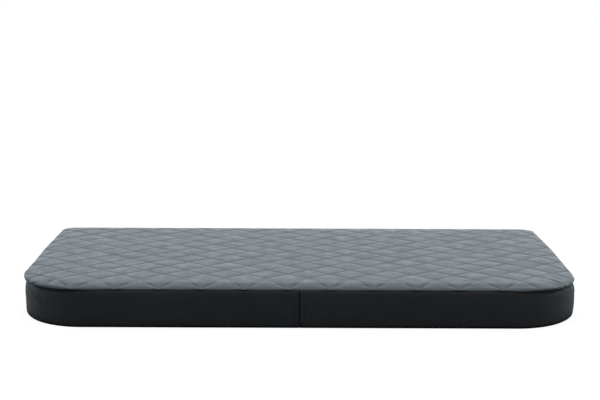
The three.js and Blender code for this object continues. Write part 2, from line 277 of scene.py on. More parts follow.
def round_edges(piece, radius, angle):
    """Rounds the edges of a piece that are sharper than the angle, in degrees."""
    soft = piece.modifiers.new("rounded edges", "BEVEL")
    soft.width = radius
    soft.segments = 3
    soft.limit_method = "ANGLE"
    soft.angle_limit = math.radians(angle)
    return soft


def grid_faces(rows, columns, flip=False):
    """Quads over rows of vertices, each row holding the same number of columns."""
    faces = []
    for row in range(rows - 1):
        for column in range(columns - 1):
            here = row * columns + column
            quad = (here, here + 1, here + columns + 1, here + columns)
            faces.append(quad[::-1] if flip else quad)
    return faces


def ring_faces(first, rings, sides, closed=False):
    """Quads of a tube over rings of vertices, joined end to end or with both ends capped."""
    faces = []
    for ring in range(rings if closed else rings - 1):
        here = first + ring * sides
        after = first + (ring + 1) % rings * sides
        for index in range(sides):
            near = (index + 1) % sides
            faces.append((here + index, here + near, after + near, after + index))
    if not closed:
        last = first + (rings - 1) * sides
        faces.append(tuple(range(first, first + sides))[::-1])
        faces.append(tuple(range(last, last + sides)))
    return faces


def net_over(points, first, count):
    """A flat net, mostly of quads, inside the closed border that count points from first on make."""
    edges = [(first + index, first + (index + 1) % count) for index in range(count)]
    spots, _, triangles = delaunay_2d_cdt(points, edges, [], 1, 1e-7)[:3]
    net = bmesh.new()
    corners = [net.verts.new((x, y, 0.0)) for x, y in spots]
    for face in triangles:
        try:
            net.faces.new([corners[index] for index in face])
        except ValueError:
            continue
    loose = [corner for corner in net.verts if not corner.link_faces]
    bmesh.ops.delete(net, geom=loose, context="VERTS")
    bmesh.ops.join_triangles(
        net, faces=net.faces[:], angle_face_threshold=3.1, angle_shape_threshold=1.2
    )
    net.normal_update()
    for face in net.faces:
        if face.normal.z < 0:
            face.normal_flip()
    net.verts.index_update()
    flat = [(corner.co.x, corner.co.y) for corner in net.verts]
    quads = [tuple(corner.index for corner in face.verts) for face in net.faces]
    net.free()
    return flat, quads


def fill_outline(inset, cell, step):
    """A flat net of near-square cells inside the outline at one inset: points and faces."""
    points = [Vector(station[:2]) for station in closed_outline(inset, step)]
    count = len(points)
    columns = int(2 * HALF_LENGTH / cell)
    rows = int(2 * HALF_WIDTH / cell)
    for i in range(columns + 1):
        for j in range(rows + 1):
            x = -HALF_LENGTH + 2 * HALF_LENGTH * i / columns
            y = -HALF_WIDTH + 2 * HALF_WIDTH * j / rows
            if edge_distance(x, y)[0] > inset + 0.45 * cell:
                points.append(Vector((x, y)))
    return net_over(points, 0, count)


def sweep_tube(path, radius, sides):
    """A round closed tube along points, each with its outward direction and size."""
    vertices = []
    for (x, y, z), (away_x, away_y), swell in path:
        for index in range(sides):
            angle = 2 * math.pi * index / sides
            out = radius * swell * math.cos(angle)
            up = radius * swell * math.sin(angle)
            vertices.append((x + away_x * out, y + away_y * out, z + up))
    return vertices, ring_faces(0, len(path), sides, closed=True)


def fix_normals(piece):
    """Turns all faces of a closed piece outwards."""
    net = bmesh.new()
    net.from_mesh(piece.data)
    bmesh.ops.recalc_face_normals(net, faces=net.faces[:])
    net.to_mesh(piece.data)
    net.free()


def stitch_chain(name, stitches, radius, sides, material):
    """Threads lying on a surface, one short rounded dash for each (start, end, normal)."""
    vertices = []
    faces = []
    stops = ((0.0, 0.35, -0.9), (0.18, 0.95, 0.2), (0.82, 0.95, 0.2), (1.0, 0.35, -0.9))
    for start, end, normal in stitches:
        along = (end - start).normalized()
        beside = along.cross(normal).normalized()
        first = len(vertices)
        for share, size, lift in stops:
            middle = start.lerp(end, share) + normal * radius * lift
            for index in range(sides):
                angle = 2 * math.pi * index / sides
                spread = beside * math.cos(angle) + normal * math.sin(angle)
                vertices.append(tuple(middle + spread * radius * size))
        faces += ring_faces(first, len(stops), sides)
    piece = make_piece(name, vertices, faces, material)
    fix_normals(piece)
    return piece


# ---------------------------------------------------------------- shader helpers

class Graph:
    """Adds and links nodes in one node tree, laid out in columns."""

    def __init__(self, tree):
        self.tree = tree
        self.column = 0

    def add(self, kind, inputs=(), **settings):
        node = self.tree.nodes.new(kind)
        node.location = (self.column * 190, -(self.column % 3) * 130)
        self.column += 1
        for key, value in settings.items():
            setattr(node, key, value)
        for key, value in dict(inputs).items():
            self.feed(node.inputs[key], value)
        return node

    def feed(self, socket, value):
        if isinstance(value, bpy.types.NodeSocket):
            self.tree.links.new(value, socket)
        else:
            socket.default_value = value

    def math(self, operation, first, second=0.0, third=0.0, clamp=False):
        node = self.add("ShaderNodeMath", operation=operation, use_clamp=clamp)
        self.feed(node.inputs[0], first)
        self.feed(node.inputs[1], second)
        self.feed(node.inputs[2], third)
        return node.outputs[0]

    def vector(self, operation, first, second=None):
        node = self.add("ShaderNodeVectorMath", operation=operation)
        self.feed(node.inputs[0], first)
        if second is not None:
            self.feed(node.inputs["Scale" if operation == "SCALE" else 1], second)
        return node.outputs["Value" if operation == "LENGTH" else 0]

    def noise(self, vector, scale, detail=3.0, roughness=0.55, distortion=0.0):
        node = self.add("ShaderNodeTexNoise", {
            "Vector": vector, "Scale": scale, "Detail": detail,
            "Roughness": roughness, "Distortion": distortion,
        })
        return node.outputs["Fac"]

    def span(self, value, low, high, out_low=0.0, out_high=1.0):
        node = self.add("ShaderNodeMapRange", {
            "Value": value, "From Min": low, "From Max": high,
            "To Min": out_low, "To Max": out_high,
        })
        node.clamp = True
        return node.outputs["Result"]

    def blend(self, share, first, second):
        node = self.add("ShaderNodeMix", data_type="RGBA", clamp_factor=True)
        colours = [socket for socket in node.inputs if socket.type == "RGBA"]
        self.feed(node.inputs[0], share)
        self.feed(colours[0], first)
        self.feed(colours[1], second)
        return next(socket for socket in node.outputs if socket.type == "RGBA")


def new_group(name, inputs, outputs):
    """A shader node group with named sockets; returns the group and its graph, input and output."""
    group = bpy.data.node_groups.new(name, "ShaderNodeTree")
    for label, kind, value in inputs:
        socket = group.interface.new_socket(name=label, in_out="INPUT", socket_type=kind)
        if value is not None:
            socket.default_value = value
    for label, kind in outputs:
        group.interface.new_socket(name=label, in_out="OUTPUT", socket_type=kind)
    graph = Graph(group)
    source = graph.add("NodeGroupInput")
    return group, graph, source.outputs


def close_group(graph, **outputs):
    sink = graph.add("NodeGroupOutput")
    for label, value in outputs.items():
        graph.feed(sink.inputs[label.replace("_", " ")], value)


FLOAT = "NodeSocketFloat"
VECTOR = "NodeSocketVector"


def wobbled(graph, place, scale, amount):
    """The place pushed about a little, so that a pattern laid on it is not ruled."""
    waves = graph.add("ShaderNodeTexNoise", {"Vector": place, "Scale": scale, "Detail": 2.0})
    return graph.vector("ADD", place, graph.vector("SCALE", waves.outputs["Color"], amount))


def grain_group(name):
    """Pressed pebble grain of leatherette: height, a broad tone and a polish mask."""
    group, graph, given = new_group(
        name,
        [("Vector", VECTOR, None), ("Pebbles", FLOAT, 620.0), ("Crease", FLOAT, 0.5)],
        [("Height", FLOAT), ("Tone", FLOAT), ("Polish", FLOAT)],
    )
    moved = wobbled(graph, given["Vector"], 160.0, 0.0022)
    cells = graph.add("ShaderNodeTexVoronoi", {"Vector": moved, "Scale": given["Pebbles"]})
    cells.feature = "DISTANCE_TO_EDGE"
    domes = graph.span(cells.outputs["Distance"], 0.0, 0.28)
    soft = graph.math("POWER", domes, 0.6)
    folds = graph.noise(given["Vector"], 34.0, 5.0, 0.6, 0.8)
    crease = graph.math("MULTIPLY", graph.span(folds, 0.46, 0.54, -1.0, 1.0), given["Crease"])
    crease = graph.math("MULTIPLY", graph.math("ABSOLUTE", crease), 0.5)
    fine = graph.noise(given["Vector"], 2300.0, 2.0)
    height = graph.math("ADD", soft, graph.math("MULTIPLY", fine, 0.22))
    height = graph.math("ADD", height, crease)
    tone = graph.noise(given["Vector"], 7.0, 4.0, 0.6)
    polish = graph.span(graph.noise(given["Vector"], 19.0, 5.0, 0.62, 0.4), 0.42, 0.66)
    close_group(graph, Height=height, Tone=tone, Polish=polish)
    return group


def weave_group(name):
    """Plain weave: height of the crossing yarns, and a tone made of yarn slub and painted shade in the gaps
    between yarns.
    """
    group, graph, given = new_group(
        name,
        [("Vector", VECTOR, None), ("Yarns", FLOAT, 900.0), ("Slub", FLOAT, 0.3)],
        [("Height", FLOAT), ("Tone", FLOAT)],
    )
    moved = wobbled(graph, given["Vector"], 55.0, 0.0012)
    parts = graph.add("ShaderNodeSeparateXYZ", {"Vector": moved})
    turns = graph.math("MULTIPLY", given["Yarns"], math.pi)
    warp = graph.math("SINE", graph.math("MULTIPLY", parts.outputs["X"], turns))
    weft = graph.math("SINE", graph.math("MULTIPLY", parts.outputs["Y"], turns))
    over = graph.math("MULTIPLY", warp, weft)
    ribs = graph.math("MAXIMUM", graph.math("ABSOLUTE", warp), graph.math("ABSOLUTE", weft))
    height = graph.math("MULTIPLY_ADD", over, 0.35, ribs)
    slub = graph.noise(given["Vector"], 130.0, 4.0, 0.7)
    tone = graph.math("MULTIPLY_ADD", slub, given["Slub"], graph.math("MULTIPLY", ribs, 0.5))
    close_group(graph, Height=height, Tone=tone)
    return group


def fibre_group(name):
    """Matted fibres, as in felt, wadding and non-woven sheet: height, tone and stray flecks."""
    group, graph, given = new_group(
        name,
        [("Vector", VECTOR, None), ("Fineness", FLOAT, 260.0), ("Clumps", FLOAT, 28.0)],
        [("Height", FLOAT), ("Tone", FLOAT), ("Flecks", FLOAT)],
    )
    strands = []
    for turn, stretch in ((0.4, (1.0, 0.16, 1.0)), (1.5, (1.0, 0.2, 0.6)), (2.5, (0.18, 1.0, 1.0))):
        laid = graph.add("ShaderNodeMapping", {
            "Vector": given["Vector"],
            "Rotation": (0.3 * turn, 0.2 * turn, turn),
            "Scale": stretch,
        })
        strands.append(graph.noise(laid.outputs[0], given["Fineness"], 5.0, 0.7, 1.2))
    height = graph.math("MAXIMUM", strands[0], graph.math("MAXIMUM", strands[1], strands[2]))
    clump = graph.noise(given["Vector"], given["Clumps"], 4.0, 0.6)
    height = graph.math("ADD", height, graph.math("MULTIPLY", clump, 0.8))
    flecks = graph.span(graph.noise(given["Vector"], 420.0, 2.0, 0.5), 0.68, 0.74)
    close_group(graph, Height=height, Tone=clump, Flecks=flecks)
    return group


def lint_group(name):
    """Fine lint and dust caught on a cloth or leatherette face."""
    group, graph, given = new_group(
        name,
        [("Vector", VECTOR, None), ("Amount", FLOAT, 0.3)],
        [("Mask", FLOAT)],
    )
    haze = graph.span(graph.noise(given["Vector"], 5.0, 6.0, 0.7), 0.45, 0.75)
    specks = graph.span(graph.noise(given["Vector"], 900.0, 1.0, 0.4), 0.72, 0.78)
    mask = graph.math("MULTIPLY_ADD", haze, 0.5, graph.math("MULTIPLY", specks, 0.6))
    mask = graph.math("MULTIPLY", mask, given["Amount"], clamp=True)
    close_group(graph, Mask=mask)
    return group


def new_material(name):
    """A material with its Principled shader, its graph and the piece's own coordinates."""
    material = bpy.data.materials.new(name)
    material.use_nodes = True
    tree = material.node_tree
    shader = next(node for node in tree.nodes if node.type == "BSDF_PRINCIPLED")
    graph = Graph(tree)
    place = graph.add("ShaderNodeTexCoord").outputs["Object"]
    return material, graph, shader, place


GROUPS = {
    "pebble grain": grain_group,
    "plain weave": weave_group,
    "matted fibres": fibre_group,
    "lint": lint_group,
}


def place_group(graph, name, **inputs):
    """One of the shared groups, made the first time that a material asks for it."""
    group = bpy.data.node_groups.get(name) or GROUPS[name](name)
    return graph.add("ShaderNodeGroup", inputs, node_tree=group).outputs


def bump(graph, height, distance):
    node = graph.add("ShaderNodeBump", {"Height": height, "Distance": distance, "Strength": 1.0})
    return node.outputs["Normal"]


def made_once(make):
    """Uses a material again when one of the same name has been made before."""
    @functools.wraps(make)
    def find_or_make(name, *values, **named):
        return bpy.data.materials.get(name) or make(name, *values, **named)

    return find_or_make


def finish_material(graph, shader, colour, roughness, normal, shine=0.5, sheen=0.0, metallic=0.0):
    """Links what changes over the surface and sets what is the same all over it."""
    graph.feed(shader.inputs["Base Color"], colour)
    graph.feed(shader.inputs["Roughness"], roughness)
    graph.feed(shader.inputs["Normal"], normal)
    shader.inputs["Specular IOR Level"].default_value = shine
    shader.inputs["Sheen Weight"].default_value = sheen
    shader.inputs["Metallic"].default_value = metallic


def rgb(colour, factor=1.0):
    return (colour[0] * factor, colour[1] * factor, colour[2] * factor, 1.0)


@made_once
def leatherette_material(name, colour, rough, grain_depth, sheen_level, lint):
    """Coated leatherette: pressed grain with painted shade in its pits, slight fading, polish where it is
    handled, a little lint.
    """
    material, graph, shader, place = new_material(name)
    grain = place_group(graph, "pebble grain", Vector=place, Pebbles=640.0, Crease=0.35)
    dust = place_group(graph, "lint", Vector=place, Amount=lint)
    faded = graph.blend(
        graph.span(grain["Tone"], 0.3, 0.7), rgb(colour, 0.84), rgb(colour, 1.18)
    )
    # Painted shade: the colour is darkened to 0.55 in the grain's pits, where its height is low.
    pit_shade = graph.blend(graph.span(grain["Height"], 0.2, 0.9), rgb(colour, 0.55), faded)
    dusty = graph.blend(dust["Mask"], pit_shade, (0.19, 0.19, 0.18, 1.0))
    worn = graph.span(grain["Polish"], 0.0, 1.0, rough + 0.05, rough - 0.05)
    worn = graph.math("MULTIPLY_ADD", dust["Mask"], 0.3, worn)
    normal = bump(graph, grain["Height"], grain_depth)
    finish_material(graph, shader, dusty, worn, normal, shine=sheen_level)
    return material


@made_once
def fibre_material(name, colour, fineness, clumps, depth, sheen=0.25, flecks=0.4):
    """Felt, wadding or non-woven sheet."""
    material, graph, shader, place = new_material(name)
    mat = place_group(graph, "matted fibres", Vector=place, Fineness=fineness, Clumps=clumps)
    tone = graph.blend(graph.span(mat["Tone"], 0.3, 0.7), rgb(colour, 0.82), rgb(colour, 1.08))
    shade = graph.blend(graph.span(mat["Height"], 0.5, 1.2), rgb(colour, 0.6), tone)
    spots = graph.math("MULTIPLY", mat["Flecks"], flecks)
    flecked = graph.blend(spots, shade, rgb(colour, 0.35))
    rough = graph.span(mat["Tone"], 0.2, 0.8, 0.86, 0.98)
    finish_material(graph, shader, flecked, rough, bump(graph, mat["Height"], depth), 0.2, sheen)
    return material


@made_once
def weave_material(name, colour, yarns, depth, turn=(0.0, 0.0, 0.0), rough=0.85, sheen=0.2):
    """Woven cloth or tape; turn lays the weave along the piece."""
    material, graph, shader, place = new_material(name)
    laid = graph.add("ShaderNodeMapping", {"Vector": place, "Rotation": turn}).outputs[0]
    weave = place_group(graph, "plain weave", Vector=laid, Yarns=yarns, Slub=0.6)
    # Darker where the weave's tone is low: partly the slub of the yarn, partly painted shade in the gaps
    # between yarns.
    tone = graph.blend(graph.span(weave["Tone"], 0.3, 1.0), rgb(colour, 0.62), rgb(colour, 1.15))
    dust = place_group(graph, "lint", Vector=place, Amount=0.12)
    dusty = graph.blend(dust["Mask"], tone, (0.3, 0.3, 0.28, 1.0))
    worn = graph.span(weave["Height"], 0.4, 1.3, rough + 0.08, rough - 0.08)
    finish_material(graph, shader, dusty, worn, bump(graph, weave["Height"], depth), 0.25, sheen)
    return material


@made_once
def thread_material(name, colour):
    """Twisted sewing thread with a soft shine."""
    material, graph, shader, place = new_material(name)
    wave = graph.add("ShaderNodeTexWave", {
        "Vector": place,
        "Scale": 420.0,
        "Distortion": 1.5,
        "Detail": 1.0,
    })
    wave.bands_direction = "DIAGONAL"
    twist = wave.outputs["Fac"]
    fuzz = graph.noise(place, 1500.0, 2.0)
    # Painted shade: the colour darkens to 0.55 along the low parts of the twist, the same bands that the
    # bump sinks.
    tone = graph.blend(twist, rgb(colour, 0.55), rgb(colour, 1.1))
    rough = graph.span(fuzz, 0.3, 0.7, 0.5, 0.7)
    finish_material(graph, shader, tone, rough, bump(graph, twist, 0.00012), shine=0.35)
    return material


@made_once
def foam_material(name, colour):
    """Open-cell foam: fine round pores, darkened as painted shade, in a slightly yellowed block."""
    material, graph, shader, place = new_material(name)
    cells = graph.add("ShaderNodeTexVoronoi", {"Vector": place, "Scale": 900.0, "Randomness": 1.0})
    large = graph.add("ShaderNodeTexVoronoi", {"Vector": place, "Scale": 210.0, "Randomness": 1.0})
    pores = graph.span(cells.outputs["Distance"], 0.1, 0.6)
    holes = graph.span(large.outputs["Distance"], 0.08, 0.22)
    height = graph.math("MULTIPLY", pores, holes)
    age = graph.noise(place, 4.0, 4.0)
    tone = graph.blend(graph.span(age, 0.35, 0.65), rgb(colour), rgb((0.76, 0.6, 0.3)))
    # Painted shade: the colour is darkened to half inside the pores, where the height is low.
    pore_shaded = graph.blend(height, rgb(colour, 0.5), tone)
    rough = graph.span(age, 0.3, 0.7, 0.88, 0.97)
    finish_material(graph, shader, pore_shaded, rough, bump(graph, height, 0.0005), shine=0.2)
    return material


@made_once
def nylon_material(name, colour):
    """Moulded or drawn nylon: smooth, with faint draw lines and rub marks."""
    material, graph, shader, place = new_material(name)
    rub = graph.noise(place, 240.0, 4.0, 0.65)
    fine = graph.noise(place, 3000.0, 2.0)
    tone = graph.blend(rub, rgb(colour, 0.7), rgb(colour, 1.5))
    rough = graph.span(rub, 0.3, 0.7, 0.28, 0.46)
    finish_material(graph, shader, tone, rough, bump(graph, fine, 0.00003))
    return material


@made_once
def metal_material(name, colour):
    """Plated zip metal, brushed along its length, dulled and a little scratched."""
    material, graph, shader, place = new_material(name)
    drawn = graph.add("ShaderNodeMapping", {"Vector": place, "Scale": (0.08, 1.0, 1.0)}).outputs[0]
    brush = graph.noise(drawn, 5200.0, 3.0, 0.6)
    stain = graph.noise(place, 310.0, 4.0, 0.6)
    scuff = graph.span(graph.noise(place, 900.0, 5.0, 0.75, 2.0), 0.6, 0.66)
    tone = graph.blend(graph.span(stain, 0.35, 0.65), rgb(colour, 0.72), rgb(colour, 1.12))
    scuffed = graph.blend(scuff, tone, rgb((0.55, 0.55, 0.56)))
    rough = graph.math("MULTIPLY_ADD", brush, 0.18, graph.span(stain, 0.3, 0.7, 0.2, 0.32))
    finish_material(graph, shader, scuffed, rough, bump(graph, brush, 0.00002), metallic=1.0)
    return material


def cover_material(settings):
    return leatherette_material(
        "leatherette, quilted top", settings.top_colour, settings.top_roughness,
        settings.grain_depth, settings.top_shine, settings.lint,
    )


# The boxing, zip panels and underside use a darker copy of the top's leatherette: painted shade for faces
# that get less light than the top.
def shaded_side_material(settings):
    return leatherette_material(
        "leatherette, sides", settings.side_shaded_colour, settings.side_roughness,
        settings.grain_depth, settings.side_shine, settings.lint * 0.4,
    )


# ---------------------------------------------------------------- settings

class QuiltSettings(bpy.types.PropertyGroup):
    diagonal: bpy.props.FloatProperty(
        name="Diamond", description="Corner to corner of one quilted diamond, along the length",
        default=0.1475, min=0.05, max=0.4, unit="LENGTH",
    )
    depth: bpy.props.FloatProperty(
        name="Diamond depth", description="Corner to corner across the mattress, in its middle",
        default=0.1400, min=0.05, max=0.4, unit="LENGTH",
    )
    shift: bpy.props.FloatProperty(
        name="Shift", description="How far a crossing lies to the right of the middle",
        default=0.032, unit="LENGTH",
    )
    row: bpy.props.FloatProperty(
        name="Row", description="How far behind the middle that crossing lies",
        default=0.243, unit="LENGTH",
    )
    roll: bpy.props.FloatProperty(
        name="Roll", description="How far in from the edge the top panel starts to roll over",
        default=0.086, min=0.02, max=0.2, unit="LENGTH",
    )
    crown: bpy.props.FloatProperty(
        name="Crown", description="Height of the tops of the quilted puffs",
        default=TOP_HIGH.z - 0.0018, unit="LENGTH",
    )
    sink: bpy.props.FloatProperty(
        name="Sink", description="How deep the quilting stitches pull the cover in",
        default=0.0006, min=0.0, max=0.02, unit="LENGTH",
    )
    groove: bpy.props.FloatProperty(
        name="Groove", description="Depth of the fine groove along each row of quilting stitches",
        default=0.0010, min=0.0, max=0.01, unit="LENGTH",
    )
    groove_width: bpy.props.FloatProperty(
        name="Groove width", description="Half width of that groove",
        default=0.0022, min=0.001, max=0.01, unit="LENGTH",
    )
    cells: bpy.props.IntProperty(
        name="Cells", description="Mesh cells across one diamond", default=14, min=4, max=24,
    )
    pressure: bpy.props.FloatProperty(
        name="Pressure", description="How hard the wadding presses the cover up between its stitches",
        default=0.18, min=0.0, max=40.0,
    )
    ease: bpy.props.FloatProperty(
        name="Ease", description="Extra leatherette taken up by each puff",
        default=0.0003, min=0.0, max=0.1, subtype="FACTOR",
    )
    stitch: bpy.props.FloatProperty(
        name="Stitch", description="Length of one quilting stitch with its gap",
        default=0.0052, min=0.002, max=0.02, unit="LENGTH",
    )


class CoverSettings(bpy.types.PropertyGroup):
    top_colour: bpy.props.FloatVectorProperty(
        name="Top colour", description="Leatherette of the quilted top",
        default=(0.020, 0.0225, 0.0255), subtype="COLOR", min=0.0, max=1.0,
    )
    # Darker than the top colour: painted shade on the upright faces, which are the same leatherette as the
    # top.
    side_shaded_colour: bpy.props.FloatVectorProperty(
        name="Side colour", description="Leatherette of the boxing and the underside",
        default=(0.0050, 0.0047, 0.0054), subtype="COLOR", min=0.0, max=1.0,
    )
    top_roughness: bpy.props.FloatProperty(
        name="Top roughness", description="How dull the quilted top is",
        default=0.36, min=0.0, max=1.0, subtype="FACTOR",
    )
    side_roughness: bpy.props.FloatProperty(
        name="Side roughness", description="How dull the boxing is",
        default=0.52, min=0.0, max=1.0, subtype="FACTOR",
    )
    top_shine: bpy.props.FloatProperty(
        name="Top shine", description="Strength of the shine on the quilted top",
        default=0.5, min=0.0, max=1.0, subtype="FACTOR",
    )
    side_shine: bpy.props.FloatProperty(
        name="Side shine", description="Strength of the shine on the boxing",
        default=0.20, min=0.0, max=1.0, subtype="FACTOR",
    )
    grain_depth: bpy.props.FloatProperty(
        name="Grain depth", description="Depth of the pressed grain",
        default=0.00011, min=0.0, max=0.001, unit="LENGTH", precision=6,
    )
    lint: bpy.props.FloatProperty(
        name="Lint", description="How much lint lies on the top", default=0.06, min=0.0, max=1.0,
        subtype="FACTOR",
    )
    bulge: bpy.props.FloatProperty(
        name="Bulge", description="How far the boxing swells between its seams",
        default=0.0022, min=0.0, max=0.01, unit="LENGTH",
    )
    welt_out: bpy.props.FloatProperty(
        name="Welt out", description="How far the covered welt is drawn out past its seam",
        default=0.0010, min=0.0, max=0.006, unit="LENGTH",
    )
    hem_radius: bpy.props.FloatProperty(
        name="Hem radius", description="Roundness of the lower edge of the boxing",
        default=0.010, min=0.002, max=0.03, unit="LENGTH",
    )
    topstitch_margin: bpy.props.FloatProperty(
        name="Topstitch margin", description="From the front joining seam to the stitches beside it",
        default=0.016, min=0.003, max=0.04, unit="LENGTH",
    )


class StageSettings(bpy.types.PropertyGroup):
    floor_colour: bpy.props.FloatVectorProperty(
        name="Floor", description="Colour of the floor", default=(0.55, 0.55, 0.55),
        subtype="COLOR", min=0.0, max=1.0,
    )
    back_light: bpy.props.FloatProperty(
        name="Back light", description="Brightness of the room behind the mattress",
        default=1.60, min=0.0, max=6.0,
    )
    front_light: bpy.props.FloatProperty(
        name="Front light", description="Brightness of the room in front of the mattress",
        default=0.78, min=0.0, max=5.0,
    )
    top_light: bpy.props.FloatProperty(
        name="Overhead light", description="Brightness of the ceiling", default=0.80, min=0.0, max=5.0,
    )


def settings_of(context):
    scene = context.scene
    return scene.mattress_quilt, scene.mattress_cover, scene.mattress_stage


# ---------------------------------------------------------------- quilted top

def puff(a, b):
    """Height share of a quilted diamond, 0 on its stitches and 1 in its middle."""
    across = 1 - abs(2 * (a - math.floor(a)) - 1) ** 4
    along = 1 - abs(2 * (b - math.floor(b)) - 1) ** 4
    return (across * along) ** 0.7


def quilt_frame(quilt):
    """Turns flat panel positions into diamond counts and back.

    The diamonds are a little deeper towards the sides, their rows wander slightly, and the last
    half row is drawn out so that its lines meet at the front seam."""
    last = -math.floor((HALF_WIDTH + quilt.row - 0.10) / quilt.depth)
    rim = -HALF_WIDTH - 0.004

    def deep(x):
        return quilt.depth * (1 + 0.034 * min(1.0, (x / 0.6) ** 2))

    def wander(x, y):
        calm = float(smooth_step(0.0, 0.10, HALF_WIDTH - abs(y)))
        return (
            0.0030 * noise.noise((x * 3.1, y * 3.1, 20.0)) * calm,
            0.0045 * noise.noise((x * 2.6, y * 2.6, 31.0)) * calm,
        )

    def count(x, y):
        aside, ahead = wander(x, y)
        x -= aside
        y -= ahead
        across = (x - quilt.shift) / quilt.diagonal
        along = (y - quilt.row) / deep(x)
        if along < last:
            drawn = last - (rim - quilt.row) / deep(x)
            along = last + (along - last) * 0.5 / drawn
        return across + along, across - along

    def place(a, b):
        x = (a + b) / 2 * quilt.diagonal + quilt.shift
        along = (a - b) / 2
        if along < last:
            drawn = last - (rim - quilt.row) / deep(x)
            along = last + (along - last) * drawn / 0.5
        y = along * deep(x) + quilt.row
        aside, ahead = wander(x, y)
        return x + aside, y + ahead

    return count, place


def relief(quilt, section, x, y, run, loft=1.0):
    """How far below the puffed crown the cover lies at a point of the flat panel."""
    count, _ = quilt_frame(quilt)
    a, b = count(x, y)
    strength = float(1 - smooth_step(section.length - 0.045, section.length - 0.006, run))
    lofty = 1 + 0.22 * noise.noise((math.floor(a) * 1.7, math.floor(b) * 2.3, 0.4))
    near = min(abs(a - round(a)), abs(b - round(b))) * quilt.diagonal / math.sqrt(2)
    groove = math.exp(-((near / quilt.groove_width) ** 2))
    sewn = float(1 - smooth_step(section.length - 0.010, section.length - 0.002, run))
    waves = 0.0011 * noise.noise((x * 4.0, y * 4.0, 1.0))
    rise = quilt.sink * (0.25 + 0.75 * strength) * sewn
    pulled = quilt.groove * (1 + 1.2 * float(smooth_step(0.010, 0.040, run))) * groove * sewn
    return rise * (1 - puff(a, b) * lofty * loft) + pulled - waves * strength


def quilt_net(quilt, section):
    """The flat top panel as a net of cells that follow the stitch lines."""
    _, place = quilt_frame(quilt)
    steps = []
    for index in range(quilt.cells):
        share = 2 * index / quilt.cells
        steps.append(0.5 * share ** 1.8 if share <= 1 else 1 - 0.5 * (2 - share) ** 1.8)
    reach = int(2 * (HALF_LENGTH + HALF_WIDTH) / quilt.depth) + 4
    lines = [whole + step for whole in range(-reach, reach + 1) for step in steps]
    points = []
    outer = -section.extra
    for a in lines:
        for b in lines:
            x, y = place(a, b)
            if abs(x) > HALF_LENGTH + 0.02 or abs(y) > HALF_WIDTH + 0.02:
                continue
            if edge_distance(x, y)[0] > outer + 0.0035:
                points.append(Vector((x, y)))
    border = closed_outline(outer, 0.0085)
    first = len(points)
    points += [Vector((x, y)) for x, y, _, _, _ in border]
    return net_over(points, first, len(border))


def stitch_rows(quilt, section, family):
    """Stitches of one family of parallel quilting lines, laid on the finished top."""
    _, place = quilt_frame(quilt)
    reach = int(2 * (HALF_LENGTH + HALF_WIDTH) / quilt.depth) + 4
    pitch = quilt.stitch / (quilt.diagonal / math.sqrt(2))
    per_cell = round(1 / pitch)
    stitches = []
    for line in range(-reach, reach + 1):
        for index in range(-reach * per_cell, reach * per_cell):
            ends = []
            for share in (0.14, 0.86):
                along = (index + share) / per_cell
                x, y = place(line, along) if family == 0 else place(along, line)
                if abs(x) > HALF_LENGTH + 0.02 or abs(y) > HALF_WIDTH + 0.02:
                    break
                if edge_distance(x, y)[0] < -section.extra + 0.007:
                    break
                spot, normal, run = section.place(x, y)
                down = relief(quilt, section, x, y, run)
                ends.append((Vector(spot) - Vector(normal) * down, Vector(normal)))
            if len(ends) == 2:
                stitches.append((ends[0][0], ends[1][0], (ends[0][1] + ends[1][1]).normalized()))
    return stitches


COVER_CLOTH = {
    "quality": 4,
    "mass": 0.25,
    "air_damping": 3.0,
    "tension_stiffness": 30.0,
    "compression_stiffness": 30.0,
    "shear_stiffness": 12.0,
    "bending_stiffness": 0.25,
    "tension_damping": 12.0,
    "compression_damping": 12.0,
    "shear_damping": 12.0,
}


def inflate(piece, held, pressure, ease, frames, cap):
    """Presses a skin outwards between its held points by cloth simulation, and keeps the result."""
    scene = bpy.context.scene
    before = [corner.co.copy() for corner in piece.data.vertices]
    group = piece.vertex_groups.new(name="held")
    for index, weight in held:
        group.add([index], weight, "REPLACE")
    cloth = piece.modifiers.new("cloth", "CLOTH")
    for name, value in COVER_CLOTH.items():
        setattr(cloth.settings, name, value)
    cloth.settings.vertex_group_mass = "held"
    cloth.settings.shrink_min = -ease
    cloth.settings.use_pressure = True
    cloth.settings.uniform_pressure_force = pressure
    cloth.settings.effector_weights.gravity = 0.0
    cloth.collision_settings.use_collision = False
    cloth.point_cache.frame_start = 1
    cloth.point_cache.frame_end = frames
    for number in range(1, frames + 1):
        scene.frame_set(number)
    posed = piece.evaluated_get(bpy.context.evaluated_depsgraph_get())
    after = [corner.co.copy() for corner in posed.data.vertices]
    piece.modifiers.remove(cloth)
    piece.vertex_groups.remove(group)
    scene.frame_set(1)
    for corner, old, new in zip(piece.data.vertices, before, after):
        move = new - old
        if move.length > cap:
            move *= cap / move.length
        corner.co = old + move
    piece.data.update()


class MATTRESS_OT_top(bpy.types.Operator):
    """Make the quilted top panel, rolled over its edge and turned in to the seam"""

    bl_idname = "mattress.top"
    bl_label = "Quilted top"

    def execute(self, context):
        quilt, cover, _ = settings_of(context)
        section = TopSection(quilt.roll, quilt.crown)
        flat, faces = quilt_net(quilt, section)
        count, _ = quilt_frame(quilt)
        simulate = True
        loft = 0.8 if simulate else 1.0
        vertices = []
        held = []
        for index, (x, y) in enumerate(flat):
            spot, normal, run = section.place(x, y)
            down = relief(quilt, section, x, y, run, loft)
            vertices.append(tuple(Vector(spot) - Vector(normal) * down))
            a, b = count(x, y)
            near = min(abs(a - round(a)), abs(b - round(b))) * quilt.diagonal / math.sqrt(2)
            sewn = float(1 - smooth_step(0.0006, 0.0035, near))
            edge = float(smooth_step(section.length - 0.030, section.length - 0.010, run))
            if max(sewn, edge) > 0.02:
                held.append((index, max(sewn, edge)))
        piece = make_piece("quilted_top", vertices, faces, cover_material(cover))
        if simulate:
            inflate(piece, held, quilt.pressure, quilt.ease, 20, 0.012)
        thicken(piece, COVER_THICKNESS)
        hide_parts("top_face")
        return {"FINISHED"}


